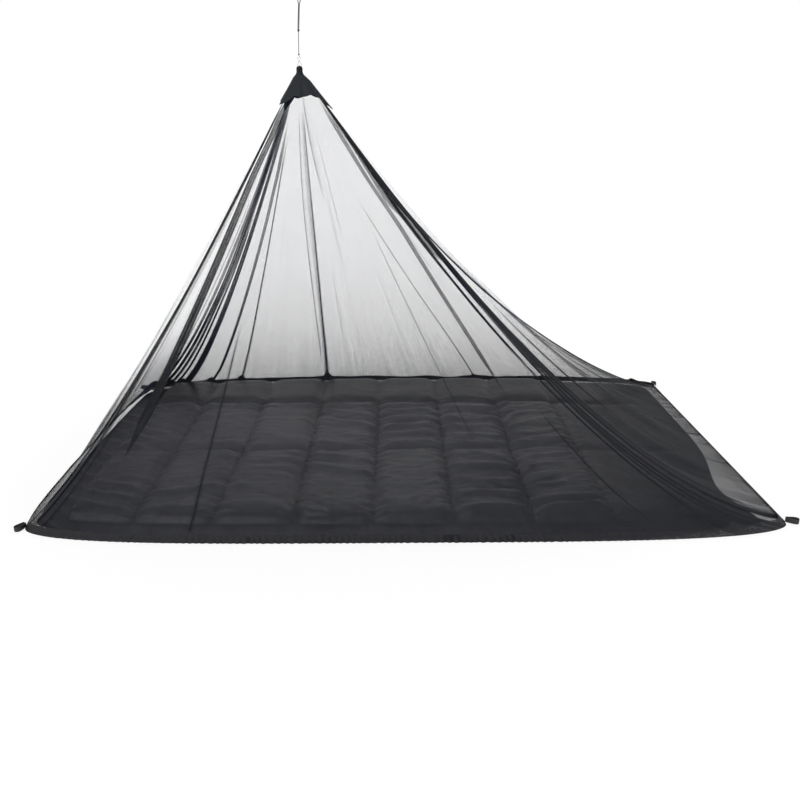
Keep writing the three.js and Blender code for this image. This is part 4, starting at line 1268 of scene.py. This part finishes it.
def mat_crown(x, y):
    """Height of the smooth quilt: the solid's, with less deep channel seams."""
    emptied = smooth_step(x, FILL_FROM, FILL_TO)
    height = blend(MAT_THICK, MAT_END_THICK, emptied)
    height = height * (1 - SEAM_DEPTH * np.exp(-(from_seam(x) / SEAM_WIDTH) ** 2))
    for at, depth in CROSS_SEAMS:
        height = height * (1 - depth * np.exp(-((y - at) / SEAM_WIDTH) ** 2))
    inward = [(sign * (at - edge["at"])) / edge["border"] for at, sign, edge in
              ((x, 1, MAT_EDGES["left"]), (x, -1, MAT_EDGES["right"]),
               (y, 1, MAT_EDGES["front"]), (y, -1, MAT_EDGES["back"]))]
    border = blend(BORDER_EDGE, BORDER_INNER, np.clip(np.minimum.reduce(inward), 0, 1))
    return blend(border, height, fullness(x, y))


print("height of a full channel:", round(float(mat_crown(np.array(-0.4), np.array(0.1))), 4))

# %% Channels of the quilt
# Each channel between two seams has its own slant and arch, so no two look alike.
CHANNEL_COLUMNS = ("slant", "arch_mm", "pitch", "phase", "strength")
CHANNELS = {
    -1: (0.30, 8, 0.070, 0.4, 0.8), 0: (-0.10, 10, 0.092, 1.7, 0.8), 1: (0.16, -8, 0.084, 0.2, 0.7),
    2: (0.34, 14, 0.098, 2.9, 1.1), 3: (-0.14, 12, 0.080, 4.4, 1.0), 4: (0.10, -10, 0.094, 5.2, 1.1),
    5: (-0.22, 8, 0.076, 1.1, 1.0), 6: (0.05, 6, 0.090, 3.3, 0.4)}


def channel_values(x):
    """The slant, arch, pitch, phase and strength of the channel at each point."""
    number = np.clip(np.floor((x - FIRST_SEAM) / SEAM_PITCH), -1, SEAM_COUNT - 1).astype(int)
    rows = np.array([CHANNELS[k] for k in range(-1, SEAM_COUNT)])
    return dict(zip(CHANNEL_COLUMNS, np.moveaxis(rows[number + 1], -1, 0)))


print("slants:", channel_values(np.linspace(-0.9, 0.6, 7))["slant"].tolist())

# %% Puckers
PUCKER_REACH, FINE_PITCH, BRANCH_PITCH = 0.040, 0.031, 0.047
BROAD_RISE, FINE_RISE, BRANCH_RISE, CREASE_RISE, SMALL_RISE = 0.0068, 0.0042, 0.0030, 0.0036, 0.0010


def ridge_wave(phase, sharpness=1.5):
    """A wave with rounded tops and narrow valleys, from -1 to 1."""
    return 1 - 2 * np.abs(np.cos(phase / 2)) ** sharpness


def patches(x, y, across, along, seed):
    """Random hills over the mat, so many to the metre across and along."""
    return value_noise(x * across + 20, y * along + 20, seed)


def pucker(x, y):
    """Wrinkles that run along X across a channel, and short ones that branch at its seams."""
    own = channel_values(x)
    across = (x - FIRST_SEAM) / SEAM_PITCH
    across = across - np.floor(across) - 0.5
    near = np.exp(-np.abs(from_seam(x)) / PUCKER_REACH)
    drift = 0.034 * patches(x, y, 4, 5, 71) + 0.009 * patches(x, y, 16, 18, 72)
    lie = y + drift + own["slant"] * across * SEAM_PITCH + own["arch_mm"] / 1000 * (1 - 4 * across ** 2)
    broad = ridge_wave(2 * math.pi * lie / own["pitch"] + own["phase"])
    kept = np.clip(0.45 + 0.75 * patches(x, lie, 3.2, 7, 74), 0.05, 1.1)
    fine = ridge_wave(2 * math.pi * (lie + 0.4 * drift) / FINE_PITCH + 3 * own["phase"]
                      + 3.5 * patches(x, y, 8, 9, 73), 1.2)
    branch = ridge_wave(2 * math.pi * (lie + np.abs(from_seam(x)) * 0.5) / BRANCH_PITCH + own["phase"], 1.1)
    creases = patches(x, lie, 13, 38, 75)
    small = patches(x, y, 34, 70, 79)
    return own["strength"] * (BROAD_RISE * broad * kept * (0.8 + 0.4 * near)
                              + FINE_RISE * fine * near * (0.4 + 0.6 * kept) + BRANCH_RISE * branch * near
                              + CREASE_RISE * creases * (0.4 + kept)) + SMALL_RISE * small


print("pucker at the mat's middle:", round(float(pucker(np.array(0.0), np.array(0.0))), 4))

# %% Creases and calm places
CROSS_CREASE_AT, CROSS_CREASE_SPAN = -0.125, (-0.72, 0.55)
CROSS_CREASE_DEPTH, CROSS_CREASE_WIDTH, GROOVE_DEPTH, GROOVE_WIDTH = 0.0045, 0.009, 0.0035, 0.006
SETTLE = 0.003  # the wrinkled cloth lies a little lower than the smooth solid


def calm_share(x, y):
    """How much of the wrinkles is left: little left of the middle, and least in the back strip."""
    wide = smooth_step(x, -0.80, -0.72) * (1 - smooth_step(x, -0.42, -0.30))
    deep = smooth_step(y, -0.10, 0.02) * (1 - smooth_step(y, 0.22, 0.30))
    return (1 - 0.75 * wide * deep) * (1 - 0.85 * smooth_step(y, 0.36, 0.40))


def cross_crease(x, y):
    """One crease runs across most channels, where the quilt was folded."""
    begin, end = CROSS_CREASE_SPAN
    waver = 0.010 * value_noise(x * 6 + 20, 0 * x + 2.5, 80)
    depth = np.exp(-((y - CROSS_CREASE_AT - waver) / CROSS_CREASE_WIDTH) ** 2)
    return depth * smooth_step(x, begin - 0.1, begin) * (1 - smooth_step(x, end, end + 0.1))


def wrinkle_height(x, y):
    """What the wrinkled cloth adds to the smooth quilt, or takes away, in metres."""
    full = fullness(x, y)
    groove = np.exp(-(from_seam(x) / GROOVE_WIDTH) ** 2)
    groove = groove + 0.7 * np.exp(-((y - CROSS_SEAMS[1][0]) / GROOVE_WIDTH) ** 2)
    sunk = CROSS_CREASE_DEPTH * cross_crease(x, y) + GROOVE_DEPTH * groove + SETTLE
    quilted = (pucker(x, y) * calm_share(x, y) - sunk) * full
    soft_end = (0.0024 * patches(x, y, 9, 5, 76) + 0.0012 * patches(x, y, 22, 13, 77)) * full
    border = 0.0006 * patches(x, y, 30, 30, 78)
    slanted = ridge_wave(2 * math.pi * (y + 0.9 * x + 0.03 * patches(x, y, 8, 6, 81)) / 0.09)
    left_border = 0.004 * slanted * (1 - smooth_step(x, -1.02, -0.94)) * smooth_step(x, -1.085, -1.05)
    quilt_share = 1 - smooth_step(x, FILL_FROM - 0.03, FILL_TO - 0.05)
    return blend(soft_end, quilted, quilt_share) + border + left_border


print("wrinkles at the mat's middle:", round(float(wrinkle_height(np.array(0.0), np.array(0.0))), 4))

# %% Where the cloth looks lighter or darker, and painted shade on its wrinkles
def cloth_tone_and_painted_shade(x, y):
    """How light the mat's colour is: lighter at the left, darker along the back strip and the right, with
    painted shade that makes wrinkle crests lighter and valleys darker.
    """
    left = 1 - smooth_step(x, -0.95, -0.30)
    back = smooth_step(y, 0.33, 0.37)
    right = smooth_step(x, 0.50, 0.66)
    rim = 1 - smooth_step(x, -1.05, -1.0)
    seam = np.exp(-(from_seam(x) / 0.005) ** 2) * smooth_step(y, -0.64, -0.62) * (1 - back)
    painted_crest_shade = np.clip(wrinkle_height(x, y) / 0.006, -1, 1)  # painted shade: crests are painted paler and valleys darker
    place = 0.34 * left - 0.66 * back - 0.12 * right - 0.12 * rim - 0.45 * seam
    return 1.0 + place + 0.16 * painted_crest_shade + 0.10 * patches(x, y, 3, 4, 83)


print("tone at the left and the right:", cloth_tone_and_painted_shade(np.array([-0.9, 0.9]), np.zeros(2)).round(2).tolist())

# %% The quilt's mesh
MAT_STEP, LOWEST_CLOTH, PUCKER_ROOM = 0.0055, 0.003, 0.008
RIM_HEIGHT, RIM_WIDTH = 0.0035, 0.008


def make_mat():
    left, right, front, back = (MAT_EDGES[k]["at"] for k in ("left", "right", "front", "back"))
    columns = np.linspace(left, right, int((right - left) / MAT_STEP) + 1)
    rows = np.linspace(front, back, int((back - front) / MAT_STEP) + 1)
    x, y = np.meshgrid(columns, rows)
    height = mat_crown(x, y) + wrinkle_height(x, y)
    edge = np.minimum.reduce([x - left, right - x, y - front, back - y])
    height = np.clip(height, LOWEST_CLOTH, MAT_THICK + PUCKER_ROOM)
    height = blend(RIM_HEIGHT, height, smooth_step(edge, -RIM_WIDTH / 2, RIM_WIDTH))
    px, py = mat_place(x, y)
    top = np.stack([px, py, height], -1)
    wide, deep = len(columns), len(rows)
    rim = [*range(wide - 1), *(r * wide + wide - 1 for r in range(deep - 1)),
           *((deep - 1) * wide + c for c in range(wide - 1, 0, -1)),
           *(r * wide for r in range(deep - 1, 0, -1))]
    flat_top = top.reshape(-1, 3)
    under = flat_top[rim] * [1, 1, 0]
    base = len(flat_top)
    faces = [face[::-1] for face in grid_faces(deep, wide)]
    faces += [[a, base + i, base + (i + 1) % len(rim), rim[(i + 1) % len(rim)]] for i, a in enumerate(rim)]
    faces.append([base + i for i in range(len(rim))][::-1])
    piece = link_mesh("mat_quilt", np.concatenate([flat_top, under]), faces, MAT)
    set_map(piece, np.concatenate([flat_top[:, :2], under[:, :2]]))
    # The tone number carries painted shade too: paler on wrinkle crests, darker in their valleys.
    set_number(piece, "tone", np.concatenate([cloth_tone_and_painted_shade(x, y).ravel(), np.ones(len(rim))]))
    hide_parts("floor_mat")
    print("mat points", len(flat_top), "crown", round(float(height.max()), 4))


make_mat()

# %% Stitches along the seams
STITCH_LENGTH, STITCH_PITCH, STITCH_RADIUS, STITCH_LIFT = 0.0034, 0.0052, 0.0005, 0.0002
GRAIN_POINTS = 9


def stitch_line(x, y):
    """Small three-sided grains of thread that follow a line over the quilt."""
    px, py = mat_place(x, y)
    centre = np.stack([px, py, mat_crown(x, y) + wrinkle_height(x, y) + STITCH_LIFT], -1)
    ahead = unit(np.gradient(centre, axis=0))
    side = unit(np.cross(ahead, [0, 0, 1.0]))
    up = np.cross(side, ahead)
    ring = [0, 2 * math.pi / 3, 4 * math.pi / 3]
    points = []
    for end, size in ((-0.5, 0.35), (0, 1.0), (0.5, 0.35)):
        for angle in ring:
            points.append(centre + ahead * STITCH_LENGTH * end
                          + (side * math.cos(angle) + up * math.sin(angle)) * STITCH_RADIUS * size)
    return np.stack(points, 1)


def make_stitches():
    groups = []
    y = np.arange(-0.60, 0.575, STITCH_PITCH)
    for seam in range(SEAM_COUNT):
        groups.append(stitch_line(np.full_like(y, FIRST_SEAM + seam * SEAM_PITCH), y))
    x = np.arange(-0.98, 0.955, STITCH_PITCH)
    groups.append(stitch_line(x, np.full_like(x, CROSS_SEAMS[1][0])))
    front = MAT_EDGES["front"]
    groups.append(stitch_line(x, np.full_like(x, front["at"] + front["border"] - 0.004)))
    grains = np.concatenate(groups)
    single = [[0, 2, 1], [6, 7, 8]] + [[r + k, r + (k + 1) % 3, r + 3 + (k + 1) % 3, r + 3 + k]
                                       for r in (0, 3) for k in range(3)]
    faces = [[GRAIN_POINTS * grain + k for k in face] for grain in range(len(grains)) for face in single]
    piece = link_mesh("mat_stitches", grains, faces, THREAD)
    set_map(piece, grains.reshape(-1, 3)[:, :2])
    print("stitches", len(grains))


make_stitches()

# %% [markdown]
# ## Peg loops
#
# A loop of black tape is sewn to each corner of the hem, to take a peg. The tape stands on its
# edge, and its two ends come close together at the root. A curve with a flat bevel could make it.
# A closed mesh between an outer and an inner line is used, so that its rims can be a bit thinner.

# %% Outline of a peg loop
LOOP_SIZE = dict(length=0.037, width=0.020, tape=0.002, height=0.014, root=0.008)
PEG_LEVELS, PEG_FOOT = 7, 0.0002
PEG_LOOPS = {"peg_loop_front_left": ("front_left", -115, 0.0023),
             "peg_loop_front_right": ("front_right", -20, 0.0008),
             "peg_loop_back_right": ("back_right", 90, 0.0024),
             "peg_loop_back_left": ("back_left", 160, 0.0008)}


def loop_outline(inset, steps=14):
    """A line in the tape, from the root round the nose and back, this far in from its outside."""
    size = LOOP_SIZE
    nose = size["width"] / 2
    half, tip = size["root"] / 2 - inset, nose - inset
    start, bend = np.array([0.0, -half]), np.array([0.45 * size["length"], -tip])
    end = np.array([size["length"] - nose, -tip])
    t = np.linspace(0, 1, steps)[:, None]
    side = (1 - t) ** 2 * start + 2 * t * (1 - t) * bend + t ** 2 * end
    angle = np.linspace(-math.pi / 2, math.pi / 2, steps)[1:-1]
    cap = np.stack([size["length"] - nose + tip * np.cos(angle), tip * np.sin(angle)], -1)
    return np.concatenate([side, cap, (side * [1, -1])[::-1]])


print("points round a loop:", len(loop_outline(0.0)))

# %% Peg loops
def peg_loop_faces(count, levels):
    """Walls outside and inside the tape, its two rims, and its two ends."""
    index = lambda level, skin, i: (level * 2 + skin) * count + i
    top = levels - 1
    faces = []
    for i in range(count - 1):
        for level in range(top):
            outer = [index(level, 0, i), index(level, 0, i + 1), index(level + 1, 0, i + 1)]
            inner = [index(level, 1, i + 1), index(level, 1, i), index(level + 1, 1, i)]
            faces += [[*outer, index(level + 1, 0, i)], [*inner, index(level + 1, 1, i + 1)]]
        faces.append([index(top, 0, i), index(top, 0, i + 1), index(top, 1, i + 1), index(top, 1, i)])
        faces.append([index(0, 0, i + 1), index(0, 0, i), index(0, 1, i), index(0, 1, i + 1)])
    for i in (0, count - 1):
        for level in range(top):
            quad = [index(level, 0, i), index(level + 1, 0, i), index(level + 1, 1, i), index(level, 1, i)]
            faces.append(quad if i == 0 else quad[::-1])
    return faces


def make_peg_loop(node, ridge, turn, offset):
    """Tape between two lines, stacked in levels, turned and set at a corner of the hem."""
    outer, inner = loop_outline(0.0), loop_outline(LOOP_SIZE["tape"])
    inner[:, 0] = np.maximum(inner[:, 0], 0.0)
    count = len(outer)
    angle = math.radians(turn)
    ahead, side = np.array([math.cos(angle), math.sin(angle)]), np.array([-math.sin(angle), math.cos(angle)])
    origin = corner_of(ridge) + ahead * offset
    middle = (outer + inner) / 2
    rings = []
    for level in np.linspace(0, 1, PEG_LEVELS):
        full = 0.75 + 0.06 * (1 - (2 * level - 1) ** 6)
        for outline in (outer, inner):
            moved = middle + (outline - middle) * full
            plan = origin + moved[:, :1] * ahead + moved[:, 1:] * side
            height = np.full((count, 1), PEG_FOOT + level * (LOOP_SIZE["height"] - 2 * PEG_FOOT))
            rings.append(np.concatenate([plan, height], -1))
    points = np.concatenate(rings)
    piece = link_mesh(node + "_tape", points, peg_loop_faces(count, PEG_LEVELS), TAPE)
    run = np.tile(np.linspace(0, 0.08, count), 2 * PEG_LEVELS)
    set_map(piece, np.stack([run, points[:, 2]], -1))
    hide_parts(node)
    return piece


peg_loops = [make_peg_loop(node, *row) for node, row in PEG_LOOPS.items()]
print("peg loops", len(peg_loops))

# %% [markdown]
# ## Floor and light
#
# A plain white floor, a soft even sky and one weak sun from the upper left. More light would
# whiten the floor, but it would bleach the net too. So the floor glows a little where the camera
# sees it, straight or in a reflection. There it reads as white, and it still takes the shadow.

# %% Floor
FLOOR_GREY, FLOOR_GLOW, SKY_LIGHT = 0.45, 0.60, 0.62


def seen_by_camera(nodes):
    """One where the camera looks, straight or by way of a glossy or clear surface, else zero."""
    path = nodes.add("LightPath").outputs
    return nodes.math("MAXIMUM", path["Is Camera Ray"],
                      nodes.math("MAXIMUM", path["Is Glossy Ray"], path["Is Transmission Ray"]))


def floor_material():
    material = bpy.data.materials.new("white floor")
    material.use_nodes = True
    nodes = Nodes(material.node_tree)
    material.node_tree.nodes.clear()
    out = nodes.add("OutputMaterial")
    diffuse = nodes.add("BsdfDiffuse", Color=(FLOOR_GREY, FLOOR_GREY, FLOOR_GREY, 1))
    glow = nodes.add("Emission", Color=(1, 1, 1, 1))
    nodes.put(glow, "Strength", nodes.math("MULTIPLY", seen_by_camera(nodes), FLOOR_GLOW))
    both = nodes.add("AddShader")
    material.node_tree.links.new(diffuse.outputs[0], both.inputs[0])
    material.node_tree.links.new(glow.outputs[0], both.inputs[1])
    material.node_tree.links.new(both.outputs[0], out.inputs["Surface"])
    return material


FLOOR_REACH, FLOOR_DROP = 30.0, 0.0005
floor_mesh = bpy.data.meshes.new("floor")
floor_corners = [(x * FLOOR_REACH, y * FLOOR_REACH, 0) for x, y in ((-1, -1), (1, -1), (1, 1), (-1, 1))]
floor_mesh.from_pydata(floor_corners, [], [[0, 1, 2, 3]])
floor_mesh.materials.append(floor_material())
floor = bpy.data.objects.new("floor", floor_mesh)
scene.collection.objects.link(floor)
floor.location.z = cad_low.z - FLOOR_DROP
print("floor at", round(floor.location.z, 4))

# %% Sky and sun
def make_world():
    world = bpy.data.worlds.new("studio sky")
    world.use_nodes = True
    scene.world = world
    nodes = Nodes(world.node_tree)
    background = world.node_tree.nodes["Background"]
    nodes.put(background, "Color", (1, 1, 1, 1))
    strength = nodes.math("MULTIPLY_ADD", seen_by_camera(nodes), 1.0 - SKY_LIGHT, SKY_LIGHT)
    nodes.put(background, "Strength", strength)


make_world()
SUN_STRENGTH, SUN_WIDTH, SUN_TILT, SUN_TURN = 1.3, math.radians(12), math.radians(38), math.radians(-24)
sun = bpy.data.objects.new("sun", bpy.data.lights.new("sun", "SUN"))
scene.collection.objects.link(sun)
sun.data.energy = SUN_STRENGTH
sun.data.angle = SUN_WIDTH
sun.rotation_euler = (SUN_TILT, SUN_TURN, 0)
print("sky", SKY_LIGHT, "sun", SUN_STRENGTH)
